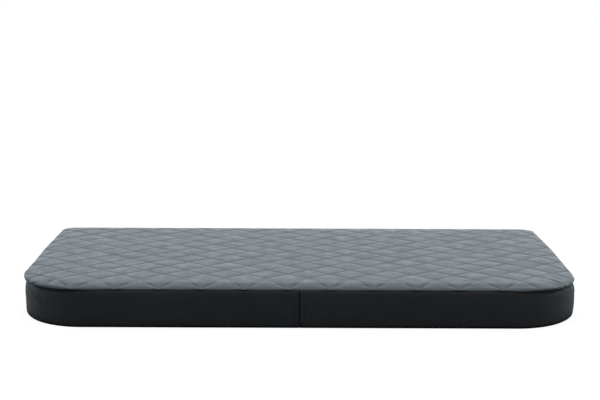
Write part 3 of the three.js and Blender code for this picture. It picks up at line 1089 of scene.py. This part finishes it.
class MATTRESS_OT_quilting(bpy.types.Operator):
    """Sew the quilting stitches and lay the wadding under the top"""

    bl_idname = "mattress.quilting"
    bl_label = "Quilting"

    def execute(self, context):
        quilt, _, _ = settings_of(context)
        section = TopSection(quilt.roll, quilt.crown)
        thread = thread_material("quilting thread", (0.016, 0.018, 0.021))
        for family, name in ((0, "quilting_thread_rising"), (1, "quilting_thread_falling")):
            rows = stitch_rows(quilt, section, family)
            stitch_chain(name, rows, QUILTING_THREAD, 4, thread)
        self.wadding(quilt, section)
        return {"FINISHED"}

    def wadding(self, quilt, section):
        """Fibre wadding that fills the puffs from below and thins at the stitches."""
        low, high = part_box("quilt_wadding")
        inset = HALF_LENGTH - high.x + 0.016
        flat, faces = fill_outline(inset, 0.0176, 0.018)
        upper = []
        for x, y in flat:
            inside, _, _ = edge_distance(x, y)
            run = max(0.0, section.roll - inside)
            reach = min(run, section.roll - 0.006)
            up = float(np.interp(reach, section.out[:-LIP_STEPS], section.up[:-LIP_STEPS]))
            down = relief(quilt, section, x, y, run)
            thin = 0.0035 + 0.001 * noise.noise((x * 30, y * 30, 5.0))
            upper.append((x, y, max(low.z + 0.0008, up - down - COVER_THICKNESS - thin)))
        lower = [(x, y, low.z + 0.0001) for x, y in flat]
        piece = closed_pad("quilt_filling", upper, lower, faces,
                           fibre_material("white wadding", (0.86, 0.85, 0.82), 240.0, 22.0, 0.0009))
        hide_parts("quilt_wadding")


def closed_pad(name, upper, lower, faces, material):
    """A pad between two nets that share their faces, closed round its edge."""
    count = len(upper)
    used = {}
    for face in faces:
        for index, corner in enumerate(face):
            edge = (corner, face[(index + 1) % len(face)])
            used[edge] = True
    walls = []
    for start, end in used:
        if (end, start) not in used:
            walls.append((end, start, start + count, end + count))
    below = [tuple(corner + count for corner in face[::-1]) for face in faces]
    piece = make_piece(name, upper + lower, list(faces) + below + walls, material)
    fix_normals(piece)
    return piece


# ---------------------------------------------------------------- sides

class MATTRESS_OT_welt(bpy.types.Operator):
    """Run the covered welt round the seam below the top panel"""

    bl_idname = "mattress.welt"
    bl_label = "Welt"

    def execute(self, context):
        _, cover, _ = settings_of(context)
        radius = (WELT_HIGH.z - WELT_LOW.z) / 2
        height = (WELT_HIGH.z + WELT_LOW.z) / 2
        inset = HALF_LENGTH - WELT_HIGH.x + radius - cover.welt_out
        path = []
        for x, y, away_x, away_y, run in closed_outline(inset, STATION_STEP):
            pucker = 0.02 * math.sin(run * 2 * math.pi / 0.0185) + 0.03 * noise.noise((x * 21, y * 21, 3.0))
            join = 0.22 * math.exp(-((x / 0.007) ** 2)) if y < 0 else 0.0
            out = 0.0003 * noise.noise((x * 9, y * 9, 8.0)) + 0.0006 * join - seam_recess(x, y)
            path.append((
                (x + away_x * out, y + away_y * out, height),
                (away_x, away_y),
                0.94 + pucker + join,
            ))
        vertices, faces = sweep_tube(path, radius, 12)
        # The welt takes the darker side colour: painted shade on the same leatherette as the top.
        material = leatherette_material(
            "leatherette, welt", tuple(cover.side_shaded_colour), 0.52,
            cover.grain_depth, 0.12, 0.05,
        )
        piece = make_piece("top_welt_covered", vertices, faces, material)
        fix_normals(piece)
        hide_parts("top_welt")
        return {"FINISHED"}


# Soft creases of the boxing at the front corners: which side, where each starts and ends as the
# angle round the corner in degrees and the drop below the top seam, then its height and width.
CORNER_CREASES = (
    ("left", 66, 0.006, 36, 0.052, 0.0030, 0.0065),
    ("left", 48, 0.004, 22, 0.026, 0.0018, 0.0055),
    ("left", 80, 0.020, 60, 0.070, 0.0014, 0.0080),
    ("right", 62, 0.005, 38, 0.034, 0.0026, 0.0060),
    ("right", 80, 0.010, 58, 0.048, 0.0016, 0.0075),
    ("right", 40, 0.004, 22, 0.018, 0.0012, 0.0060),
)


def crease_height(side, angle, drop):
    """Height of the creases at one spot of a front corner."""
    total = 0.0
    for which, angle0, drop0, angle1, drop1, height, width in CORNER_CREASES:
        if which != side:
            continue
        scale = math.radians(1) * sum(FRONT_CORNER) / 2
        along = Vector(((angle1 - angle0) * scale, drop1 - drop0))
        offset = Vector(((angle - angle0) * scale, drop - drop0))
        share = offset.dot(along) / along.length_squared
        clear = min(1.0, max(0.0, share))
        distance = (offset - along * clear).length
        fade = math.sin(math.pi * (0.12 + 0.76 * clear))
        total += height * fade * math.exp(-((distance / width) ** 2))
        total -= 0.45 * height * fade * math.exp(-(((distance - 1.9 * width) / width) ** 2))
    return total


def boxing_profile(cover, top, bottom):
    """Inset and height of the boxing's outer face, from under the welt down to the underside."""
    shoulder = 0.020
    hem = cover.hem_radius
    rows = [(0.0062, top - 0.0001)]
    for index in range(1, 8):
        angle = math.pi / 2 * index / 7
        rows.append((0.0058 * (1 - math.sin(angle)), top - 0.0001 - shoulder * (1 - math.cos(angle))))
    upper = rows[-1][1]
    lower = bottom + hem
    count = 18
    for index in range(1, count):
        rows.append((0.0, upper + (lower - upper) * index / count))
    for index in range(0, 8):
        angle = math.pi / 2 * index / 7
        rows.append((hem * (1 - math.cos(angle)), lower - hem * math.sin(angle)))
    rows.append((hem + 0.005, bottom + 0.0001))
    return rows


class MATTRESS_OT_boxing(bpy.types.Operator):
    """Make the two boxing pieces that meet in the middle of the front"""

    bl_idname = "mattress.boxing"
    bl_label = "Boxing"

    def execute(self, context):
        _, cover, _ = settings_of(context)
        top = BOXING_HIGH.z
        bottom = BOXING_LOW.z
        rows = boxing_profile(cover, top, bottom)
        rear_stop = ZIP_UPPER_HIGH.x + 0.0004
        for side, word in ((-1, "left"), (1, "right")):
            stations = walk_outline(side, LIP, STATION_STEP, rear_stop)
            stations = add_seam_stations(stations)
            length = stations[-1][4]
            vertices = []
            for x, y, away_x, away_y, run in stations:
                for inset, z in rows:
                    out = self.swell(cover, word, x, y, run, length, z, top, bottom) - inset
                    lift = seam_recess(x, y) * float(smooth_step(bottom + 0.075, top, z))
                    vertices.append((x + away_x * out, y + away_y * out, z + lift))
            faces = grid_faces(len(stations), len(rows), flip=side > 0)
            piece = make_piece(f"boxing_{word}_skin", vertices, faces, shaded_side_material(cover))
            thicken(piece, COVER_THICKNESS)
            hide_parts(f"boxing_{word}")
        return {"FINISHED"}

    def swell(self, cover, word, x, y, run, length, z, top, bottom):
        """How far the face stands out from the flat boxing at one spot."""
        share = (z - bottom) / (top - bottom)
        body = math.sin(math.pi * min(1.0, max(0.0, share))) ** 0.7
        out = cover.bulge * body
        out += 0.9 * seam_recess(x, y) * math.exp(-((max(0.0, 0.80 - share) / 0.22) ** 2))
        tucked = math.exp(-(((abs(x) - HALF_LENGTH + 0.10) / 0.10) ** 2)) if y < -0.3 else 0.0
        out -= 0.0055 * tucked * math.exp(-(((share - 1.05) / 0.16) ** 2))
        if y < 0:
            flank = smooth_step(0.20, 0.40, -y) * smooth_step(HALF_LENGTH - 0.10, HALF_LENGTH - 0.02, abs(x))
            out += (0.0035 * body if x > 0 else -0.0040) * float(flank)
        out += 0.0009 * body * noise.noise((x * 4.5, y * 4.5, z * 9))
        out += 0.0004 * body * noise.noise((x * 22, y * 22, z * 30 + 7))
        if y < FRONT_CORNER[1] - HALF_WIDTH and abs(x) > HALF_LENGTH - FRONT_CORNER[0]:
            across = (abs(x) - HALF_LENGTH) / FRONT_CORNER[0] + 1
            along = (-y - HALF_WIDTH) / FRONT_CORNER[1] + 1
            out += crease_height(word, math.degrees(math.atan2(across, along)), top - z)
        margin = cover.topstitch_margin
        for edge in (run, length - run):
            if edge < 0.06:
                sewn = math.exp(-((edge / 0.0018) ** 2))
                out -= 0.0060 * sewn
                out += 0.0007 * body * math.exp(-(((edge - 0.0040) / 0.0018) ** 2))
                if y < 0:
                    out -= 0.0028 * body * math.exp(-(((edge - margin) / 0.0024) ** 2))
                    out += 0.0007 * body * math.exp(-(((edge - 0.5 * margin) / 0.005) ** 2))
        return out


def add_seam_stations(stations):
    """Extra stations close to both sewn ends, so that the seam can be round there."""
    def between(first, second, share):
        return tuple(a + (b - a) * share for a, b in zip(first, second))

    result = []
    last = len(stations) - 2
    for index in range(len(stations) - 1):
        near = index < 5 or index > last - 5
        close = index < 1 or index > last - 1
        parts = 6 if close else 3 if near else 1
        for part in range(parts):
            result.append(between(stations[index], stations[index + 1], part / parts))
    result.append(stations[-1])
    return result


class MATTRESS_OT_zip_panels(bpy.types.Operator):
    """Make the two rear panels whose folded edges lie beside the zip"""

    bl_idname = "mattress.zip_panels"
    bl_label = "Zip panels"

    def execute(self, context):
        _, cover, _ = settings_of(context)
        rows = boxing_profile(cover, BOXING_HIGH.z, BOXING_LOW.z)
        fold = 0.0022
        upper_edge = ZIP_UPPER_LOW.z
        lower_edge = ZIP_LOWER_HIGH.z
        step = (BOXING_HIGH.z - BOXING_LOW.z) / 24
        upper = [row for row in rows if row[1] > upper_edge + fold + 0.4 * step]
        lower = [row for row in rows if row[1] < lower_edge - fold - 0.4 * step]
        turn = []
        for index in range(0, 6):
            angle = math.pi / 2 * index / 5
            turn.append((fold * (1 - math.cos(angle)), fold * (1 - math.sin(angle))))
        inner = 0.0085
        upper += [(inset, upper_edge + height) for inset, height in turn]
        upper += [(fold + 0.0003, upper_edge + 0.0004), (fold + 0.0003, upper_edge + inner)]
        start = [(fold + 0.0003, lower_edge - inner), (fold + 0.0003, lower_edge - 0.0004)]
        lower = start + [(inset, lower_edge - height) for inset, height in turn[::-1]] + lower
        half = ZIP_UPPER_HIGH.x
        for word, section in (("upper", upper), ("lower", lower)):
            columns = 290
            vertices = []
            for index in range(columns + 1):
                x = half * (2 * index / columns - 1)
                for inset, z in section:
                    out = self.swell(cover, x, z, half, upper_edge, lower_edge) - inset
                    vertices.append((x, HALF_WIDTH - LIP + out, z))
            faces = grid_faces(columns + 1, len(section), flip=False)
            name = f"zip_panel_{word}_skin"
            piece = make_piece(name, vertices, faces, shaded_side_material(cover))
            thicken(piece, COVER_THICKNESS * 0.8)
            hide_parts(f"zip_panel_{word}")
        return {"FINISHED"}

    def swell(self, cover, x, z, half, upper_edge, lower_edge):
        share = (z - BOXING_LOW.z) / (BOXING_HIGH.z - BOXING_LOW.z)
        body = math.sin(math.pi * min(1.0, max(0.0, share))) ** 0.7
        slot = min(abs(z - upper_edge), abs(z - lower_edge))
        held = 1 - math.exp(-((slot / 0.016) ** 2))
        out = cover.bulge * body * held
        out += 0.0008 * body * held * noise.noise((x * 5, 3.0, z * 9))
        out += 0.0003 * body * noise.noise((x * 26, 9.0, z * 40))
        out -= 0.0005 * math.exp(-(((slot - 0.0052) / 0.0016) ** 2))
        out -= 0.0026 * math.exp(-(((half - abs(x)) / 0.0022) ** 2))
        return out


class MATTRESS_OT_underside(bpy.types.Operator):
    """Make the plain panel on the underside"""

    bl_idname = "mattress.underside"
    bl_label = "Underside"

    def execute(self, context):
        _, cover, _ = settings_of(context)
        inset = LIP + cover.hem_radius + 0.0026
        flat, faces = fill_outline(inset, 0.018, 0.016)
        vertices = []
        for x, y in flat:
            inside, _, _ = edge_distance(x, y)
            settle = 0.0004 + 0.0004 * noise.noise((x * 3.5, y * 3.5, 11.0))
            edge = 0.0
            if inside < inset + 0.012:
                edge = 0.0007 * (1 - (inside - inset) / 0.012) ** 2
            vertices.append((x, y, max(0.00005, settle + edge)))
        faces = [face[::-1] for face in faces]
        piece = make_piece("underside_panel", vertices, faces, shaded_side_material(cover))
        thicken(piece, 0.0011)
        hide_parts("bottom_panel")
        return {"FINISHED"}


class MATTRESS_OT_topstitching(bpy.types.Operator):
    """Sew the rows of stitches beside the front seam and along the zip"""

    bl_idname = "mattress.topstitching"
    bl_label = "Topstitching"

    def execute(self, context):
        _, cover, _ = settings_of(context)
        thread = thread_material("sewing thread", (0.02, 0.021, 0.024))
        skins = {name: surface_of(name) for name in ("boxing_left_skin", "boxing_right_skin",
                                                    "zip_panel_upper_skin", "zip_panel_lower_skin")}
        front = []
        for side, name in ((-1, "boxing_left_skin"), (1, "boxing_right_skin")):
            x = side * cover.topstitch_margin
            z = BOXING_LOW.z + cover.hem_radius * 0.5
            while z < BOXING_HIGH.z - 0.005:
                front += dash(skins[name], (x, z), (x, z + SEWING_STITCH), -1)
                z += SEWING_PITCH
        stitch_chain("front_topstitching", front, SEWING_THREAD, 6, thread)
        rear = []
        half = ZIP_UPPER_HIGH.x
        for name, z in (("zip_panel_upper_skin", ZIP_UPPER_LOW.z + 0.0052),
                        ("zip_panel_lower_skin", ZIP_LOWER_HIGH.z - 0.0052)):
            x = -half + 0.003
            while x < half - 0.006:
                rear += dash(skins[name], (x, z), (x + SEWING_STITCH, z), 1)
                x += SEWING_PITCH
        stitch_chain("zip_topstitching", rear, SEWING_THREAD, 6, thread)
        return {"FINISHED"}


def surface_of(name):
    piece = bpy.data.objects[name]
    net = bmesh.new()
    net.from_mesh(piece.data)
    tree = BVHTree.FromBMesh(net)
    net.free()
    return tree


def dash(tree, start, end, side):
    """One stitch on an upright face at the front (side -1) or the rear (side 1)."""
    ends = []
    for x, z in (start, end):
        origin = Vector((x, side * (HALF_WIDTH + 0.1), z))
        spot, normal, _, _ = tree.ray_cast(origin, Vector((0, -side, 0)))
        if spot is None:
            return []
        if normal.y * side < 0:
            normal = -normal
        ends.append((spot, normal))
    return [(ends[0][0], ends[1][0], (ends[0][1] + ends[1][1]).normalized())]


# ---------------------------------------------------------------- zip

class MATTRESS_OT_zip(bpy.types.Operator):
    """Make the zip: woven tapes, coils, end stops, slider and pull"""

    bl_idname = "mattress.zip"
    bl_label = "Zip"

    def execute(self, context):
        nylon = nylon_material("coil nylon", (0.014, 0.014, 0.016))
        tape = weave_material("zip tape weave", (0.016, 0.016, 0.018), 1400.0, 0.0001,
                              turn=(math.pi / 2, 0.0, 0.0))
        metal = metal_material("zip metal", (0.34, 0.35, 0.37))
        for word in ("upper", "lower"):
            self.coil(word, nylon)
            self.tape(word, tape)
        for word in ("left", "right"):
            refine(f"zip_stop_{word}", f"zip_stop_{word}_clip", metal, BODY, 0.00035)
        refine("zip_slider", "zip_slider_body", metal, "slider", 0.00028)
        refine("zip_pull", "zip_pull_tab", metal, "pull", 0.00025)
        return {"FINISHED"}

    def coil(self, word, material):
        """A nylon filament wound round a cord in flattened turns, its heads locked in the middle."""
        low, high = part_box(f"zip_coil_{word}")
        wire = 0.00034
        pitch = 0.0016
        middle_y = (low.y + high.y) / 2
        chain = (SLIDER_LOW.z + SLIDER_HIGH.z) / 2
        outer = high.z if word == "upper" else low.z
        head = chain + (-0.0004 if word == "upper" else 0.0004)
        middle_z = (outer + head) / 2
        reach_z = abs(outer - head) / 2 - wire
        reach_y = (high.y - low.y) / 2 - wire
        steps = 8
        turns = int((high.x - low.x - 2 * pitch) / pitch)
        sides = 4
        vertices = []
        for index in range(turns * steps + 1):
            angle = 2 * math.pi * index / steps
            x = low.x + pitch * (1 + index / steps)
            y = middle_y + reach_y * math.cos(angle)
            z = middle_z + reach_z * math.sin(angle)
            away = Vector((0.0, math.cos(angle) / reach_y, math.sin(angle) / reach_z)).normalized()
            beside = Vector((1.0, 0.0, 0.0))
            for side in range(sides):
                turn = 2 * math.pi * (side + 0.5) / sides
                spot = Vector((x, y, z)) + (away * math.cos(turn) + beside * math.sin(turn)) * wire
                vertices.append(tuple(spot))
        faces = ring_faces(0, turns * steps + 1, sides)
        first = len(vertices)
        cord = 8
        middle_z = chain + (0.0021 if word == "upper" else -0.0021)
        for x in (low.x + pitch, high.x - pitch):
            for side in range(cord):
                turn = 2 * math.pi * side / cord
                vertices.append((x, middle_y + 0.0007 * math.cos(turn), middle_z + 0.0012 * math.sin(turn)))
        faces += ring_faces(first, 2, cord)
        piece = make_piece(f"zip_coil_{word}_filament", vertices, faces, material)
        fix_normals(piece)
        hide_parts(f"zip_coil_{word}")

    def tape(self, word, material):
        """Woven tape with a thicker cord along its outer edge."""
        low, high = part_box(f"zip_tape_{word}")
        thickness = high.y - low.y
        columns = 580
        rows = 14
        vertices = []
        for index in range(columns + 1):
            x = low.x + (high.x - low.x) * index / columns
            for row in range(rows + 1):
                share = row / rows
                z = low.z + (high.z - low.z) * share
                ripple = 0.00012 * noise.noise((x * 40, 2.0, z * 60))
                vertices.append((x, high.y - 0.00015 + ripple, z))
        faces = grid_faces(columns + 1, rows + 1, flip=True)
        piece = make_piece(f"zip_tape_{word}_woven", vertices, faces, material)
        thicken(piece, thickness - 0.0003)
        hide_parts(f"zip_tape_{word}")


def refine(node, name, material, body, radius):
    """A finished copy of a hard part: the same shape with rounded edges."""
    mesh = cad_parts[node].data.copy()
    mesh.name = name
    mesh.materials.clear()
    mesh.materials.append(material)
    piece = bpy.data.objects.new(name, mesh)
    bpy.context.scene.collection.objects.link(piece)
    net = bmesh.new()
    net.from_mesh(mesh)
    bmesh.ops.remove_doubles(net, verts=net.verts[:], dist=1e-6)
    bmesh.ops.dissolve_limit(net, angle_limit=math.radians(1), verts=net.verts[:], edges=net.edges[:])
    net.to_mesh(mesh)
    net.free()
    mesh.shade_smooth()
    round_edges(piece, radius, 35).harden_normals = True
    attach(piece, body)
    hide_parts(node)


# ---------------------------------------------------------------- filling

def drawn_in(x, y, z):
    """The filling keeps a little inside the cover, which is sewn in tighter along its front."""
    front = 1 - smooth_step(-0.10, 0.30, y)
    across = DRAWN_IN * float(front * smooth_step(HALF_LENGTH - 0.30, HALF_LENGTH - 0.02, abs(x)))
    ahead = DRAWN_IN * float(smooth_step(0.25, HALF_WIDTH - 0.03, -y))
    return x - math.copysign(across, x), y + ahead, z


def soft_copy(node, name, material, cell, lump, rounding=0.0):
    """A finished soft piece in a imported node's place: finer, a little uneven, its edges rounded."""
    net = bmesh.new()
    net.from_mesh(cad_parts[node].data)
    bmesh.ops.remove_doubles(net, verts=net.verts[:], dist=1e-6)
    bmesh.ops.triangulate(net, faces=net.faces[:])
    for _ in range(7):
        long_edges = [edge for edge in net.edges if edge.calc_length() > cell]
        if not long_edges:
            break
        bmesh.ops.subdivide_edges(net, edges=long_edges, cuts=1, use_grid_fill=False)
        bmesh.ops.triangulate(net, faces=[face for face in net.faces if len(face.verts) > 3])
    bmesh.ops.recalc_face_normals(net, faces=net.faces[:])
    net.verts.index_update()
    spots = []
    for corner in net.verts:
        spot = corner.co.copy()
        wave = noise.noise((spot.x * 11, spot.y * 11, spot.z * 20 + 3))
        spot -= corner.normal * lump * (0.5 + 0.5 * wave)
        spots.append(drawn_in(spot.x, spot.y, spot.z))
    faces = [tuple(corner.index for corner in face.verts) for face in net.faces]
    net.free()
    piece = make_piece(name, spots, faces, material)
    if rounding:
        round_edges(piece, rounding, 40)
    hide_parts(node)
    return piece


class MATTRESS_OT_filling(bpy.types.Operator):
    """Make the layers inside the cover: foam core, felt, border wadding, casing and backing"""

    bl_idname = "mattress.filling"
    bl_label = "Filling"

    def execute(self, context):
        foam = foam_material("foam", (0.8, 0.72, 0.46))
        felt = fibre_material("cotton felt", (0.64, 0.59, 0.5), 200.0, 18.0, 0.0012)
        fill = fibre_material("border fibre", (0.84, 0.83, 0.8), 180.0, 20.0, 0.0014)
        sheet = fibre_material("non-woven sheet", (0.7, 0.7, 0.68), 700.0, 60.0, 0.0002)
        calico = weave_material("calico", (0.76, 0.7, 0.57), 760.0, 0.0002)
        tape = weave_material("seam tape weave", (0.03, 0.03, 0.032), 1100.0, 0.00012,
                              turn=(math.pi / 2, 0.0, 0.0))
        pads = (
            ("foam_core", "foam_core_block", foam, "foam", 0.0002, 0.004, 1.0),
            ("felt_upper", "felt_pad_upper", felt, "felt", 0.0010, 0.006, 0.8),
            ("felt_lower", "felt_pad_lower", felt, "felt", 0.0010, 0.006, 0.8),
            ("border_wadding", "border_fibre_roll", fill, "wadding", 0.0012, 0.005, 0.6),
        )
        for node, name, material, slot, lump, rounding, tightness in pads:
            piece = soft_copy(node, name, material, 0.06, lump, rounding)
        self.casing(calico)
        self.backing(sheet)
        piece = soft_copy("seam_tape", "seam_stay_tape", tape, 0.01, 0.0)
        return {"FINISHED"}

    def casing(self, material):
        """The calico casing that holds the filling."""
        piece = soft_copy("liner", "calico_casing", material, 0.06, 0.0)

    def backing(self, material):
        """The thin sheet that the quilt wadding was laid on when it was sewn."""
        piece = soft_copy("quilt_backing", "quilt_backing_sheet", material, 0.06, 0.0)


# ---------------------------------------------------------------- stage

class MATTRESS_OT_stage(bpy.types.Operator):
    """Set the floor, the soft light of the room and the camera"""

    bl_idname = "mattress.stage"
    bl_label = "Stage"

    def execute(self, context):
        _, _, stage = settings_of(context)
        self.floor(stage)
        self.room(context, stage)
        self.camera(context)
        context.scene.view_settings.view_transform = "Standard"
        return {"FINISHED"}

    def floor(self, stage):
        """A wide pale floor that runs out into the bright room."""
        rings = (0.0, 0.7, 1.4, 2.2, 3.2, 4.6, 7.0, 11.0, 18.0, 40.0)
        parts = 64
        vertices = [(0.0, 0.0, -0.0002)]
        for radius in rings[1:]:
            for index in range(parts):
                angle = 2 * math.pi * index / parts
                vertices.append((radius * math.cos(angle), radius * math.sin(angle), -0.0002))
        faces = [(0, 1 + index, 1 + (index + 1) % parts) for index in range(parts)]
        for ring in range(len(rings) - 2):
            start = 1 + ring * parts
            for index in range(parts):
                near = (index + 1) % parts
                faces.append((start + index, start + parts + index, start + parts + near, start + near))
        mesh = bpy.data.meshes.new("studio_floor")
        mesh.from_pydata(vertices, [], faces)
        mesh.shade_smooth()
        floor = bpy.data.objects.new("studio_floor", mesh)
        bpy.context.scene.collection.objects.link(floor)
        mesh.materials.append(self.floor_material(stage))

    def floor_material(self, stage):
        """Matt paint with a faint mottle and painted contact shade under and close round the mattress; it
        brightens away from the mattress into the white room.
        """
        material, graph, shader, place = new_material("floor paint")
        tree = material.node_tree
        mottle = graph.noise(place, 14.0, 5.0)
        tone = graph.blend(mottle, rgb(stage.floor_colour, 0.985), rgb(stage.floor_colour, 1.0))
        # Painted contact shade: the floor under the mattress and within about 14 mm of its outline is
        # darkened to 0.15 of its colour. Rays other than the camera's mostly see it, in the reflections on
        # the lower edge of the boxing.
        past = graph.vector("SUBTRACT", graph.vector("ABSOLUTE", place),
                            (HALF_LENGTH - 0.25, HALF_WIDTH - 0.25, 0.0))
        gap = graph.vector("LENGTH", graph.vector("MAXIMUM", past, (0.0, 0.0, 0.0)))
        near = graph.span(gap, 0.250, 0.264, 0.0, 1.0)
        painted_contact_shade = graph.blend(near, rgb(stage.floor_colour, 0.15), tone)
        graph.feed(shader.inputs["Base Color"], painted_contact_shade)
        graph.feed(shader.inputs["Roughness"], graph.span(mottle, 0.3, 0.7, 0.7, 0.8))
        shader.inputs["Specular IOR Level"].default_value = 0.1
        glow = graph.add("ShaderNodeEmission", {"Color": (1.0, 1.0, 1.0, 1.0), "Strength": 1.04})
        path = graph.add("ShaderNodeLightPath")
        reach = graph.span(graph.vector("LENGTH", place), 0.9, 2.4, 0.93, 1.0)
        share = graph.math("MULTIPLY", path.outputs["Is Camera Ray"], reach)
        mix = graph.add("ShaderNodeMixShader")
        graph.feed(mix.inputs[0], share)
        tree.links.new(shader.outputs[0], mix.inputs[1])
        tree.links.new(glow.outputs[0], mix.inputs[2])
        sink = next(node for node in tree.nodes if node.type == "OUTPUT_MATERIAL")
        tree.links.new(mix.outputs[0], sink.inputs["Surface"])
        return material

    def room(self, context, stage):
        """Soft light from all round, brighter overhead and behind; the far room shows white."""
        world = bpy.data.worlds.new("studio room")
        world.use_nodes = True
        context.scene.world = world
        tree = world.node_tree
        graph = Graph(tree)
        ground = next(node for node in tree.nodes if node.type == "BACKGROUND")
        aim = graph.add("ShaderNodeTexCoord").outputs["Generated"]
        parts = graph.add("ShaderNodeSeparateXYZ", {"Vector": aim})
        deep = graph.span(parts.outputs["Y"], -0.6, 0.6, stage.front_light, stage.back_light)
        across = graph.span(parts.outputs["X"], -1.0, 1.0, 0.9, 1.06)
        level = graph.math("MULTIPLY", deep, across)
        high = graph.span(parts.outputs["Z"], 0.20, 0.70)
        level = graph.math("ADD", graph.math("MULTIPLY", level, graph.math("SUBTRACT", 1.0, high)),
                           graph.math("MULTIPLY", high, stage.top_light))
        overhead = graph.span(parts.outputs["Z"], 0.72, 0.92, 0.0, 1.6)
        level = graph.math("ADD", level, overhead)
        path = graph.add("ShaderNodeLightPath")
        seen = path.outputs["Is Camera Ray"]
        tint = graph.blend(seen, (0.82, 0.925, 1.0, 1.0), (1.0, 1.0, 1.0, 1.0))
        graph.feed(ground.inputs["Color"], tint)
        spare = graph.math("MULTIPLY", level, graph.math("SUBTRACT", 1.0, seen))
        graph.feed(ground.inputs["Strength"], graph.math("ADD", spare, seen))

    def camera(self, context):
        """A long lens, low over the front edge."""
        lens = bpy.data.cameras.new("studio camera")
        lens.sensor_width = 36.0
        lens.lens = 81.1
        lens.clip_end = 200.0
        camera = bpy.data.objects.new("studio camera", lens)
        yaw = math.radians(0.30)
        pitch = math.radians(8.8)
        roll = math.radians(0.29)
        turn = Matrix.Rotation(-yaw, 4, "Z") @ Matrix.Rotation(math.pi / 2 - pitch, 4, "X")
        turn = turn @ Matrix.Rotation(roll, 4, "Z")
        camera.matrix_world = Matrix.Translation((-0.024, -5.11, 1.146)) @ turn
        context.scene.collection.objects.link(camera)
        context.scene.camera = camera


# ---------------------------------------------------------------- panel and registration

class MATTRESS_PT_panel(bpy.types.Panel):
    """Lists the steps that make the mattress, and its sizes and colours"""

    bl_idname = "MATTRESS_PT_panel"
    bl_label = "Mattress"
    bl_space_type = "VIEW_3D"
    bl_region_type = "UI"
    bl_category = "Mattress"

    def draw(self, context):
        layout = self.layout
        for group in settings_of(context):
            box = layout.box()
            for name in group.__annotations__:
                box.prop(group, name)
        for step in STEPS:
            layout.operator(step.bl_idname)


SETTINGS = (
    ("mattress_quilt", QuiltSettings),
    ("mattress_cover", CoverSettings),
    ("mattress_stage", StageSettings),
)
STEPS = (
    MATTRESS_OT_top,
    MATTRESS_OT_quilting,
    MATTRESS_OT_welt,
    MATTRESS_OT_boxing,
    MATTRESS_OT_zip_panels,
    MATTRESS_OT_underside,
    MATTRESS_OT_topstitching,
    MATTRESS_OT_zip,
    MATTRESS_OT_filling,
    MATTRESS_OT_stage,
)


def register():
    for name, group in SETTINGS:
        bpy.utils.register_class(group)
        setattr(bpy.types.Scene, name, bpy.props.PointerProperty(type=group))
    for step in STEPS:
        bpy.utils.register_class(step)
    bpy.utils.register_class(MATTRESS_PT_panel)


def unregister():
    bpy.utils.unregister_class(MATTRESS_PT_panel)
    for step in reversed(STEPS):
        bpy.utils.unregister_class(step)
    for name, group in reversed(SETTINGS):
        delattr(bpy.types.Scene, name)
        bpy.utils.unregister_class(group)


def main():
    register()
    bpy.ops.mattress.top()
    bpy.ops.mattress.quilting()
    bpy.ops.mattress.welt()
    bpy.ops.mattress.boxing()
    bpy.ops.mattress.zip_panels()
    bpy.ops.mattress.underside()
    bpy.ops.mattress.topstitching()
    bpy.ops.mattress.zip()
    bpy.ops.mattress.filling()
    bpy.ops.mattress.stage()


if __name__ == "__main__":
    main()
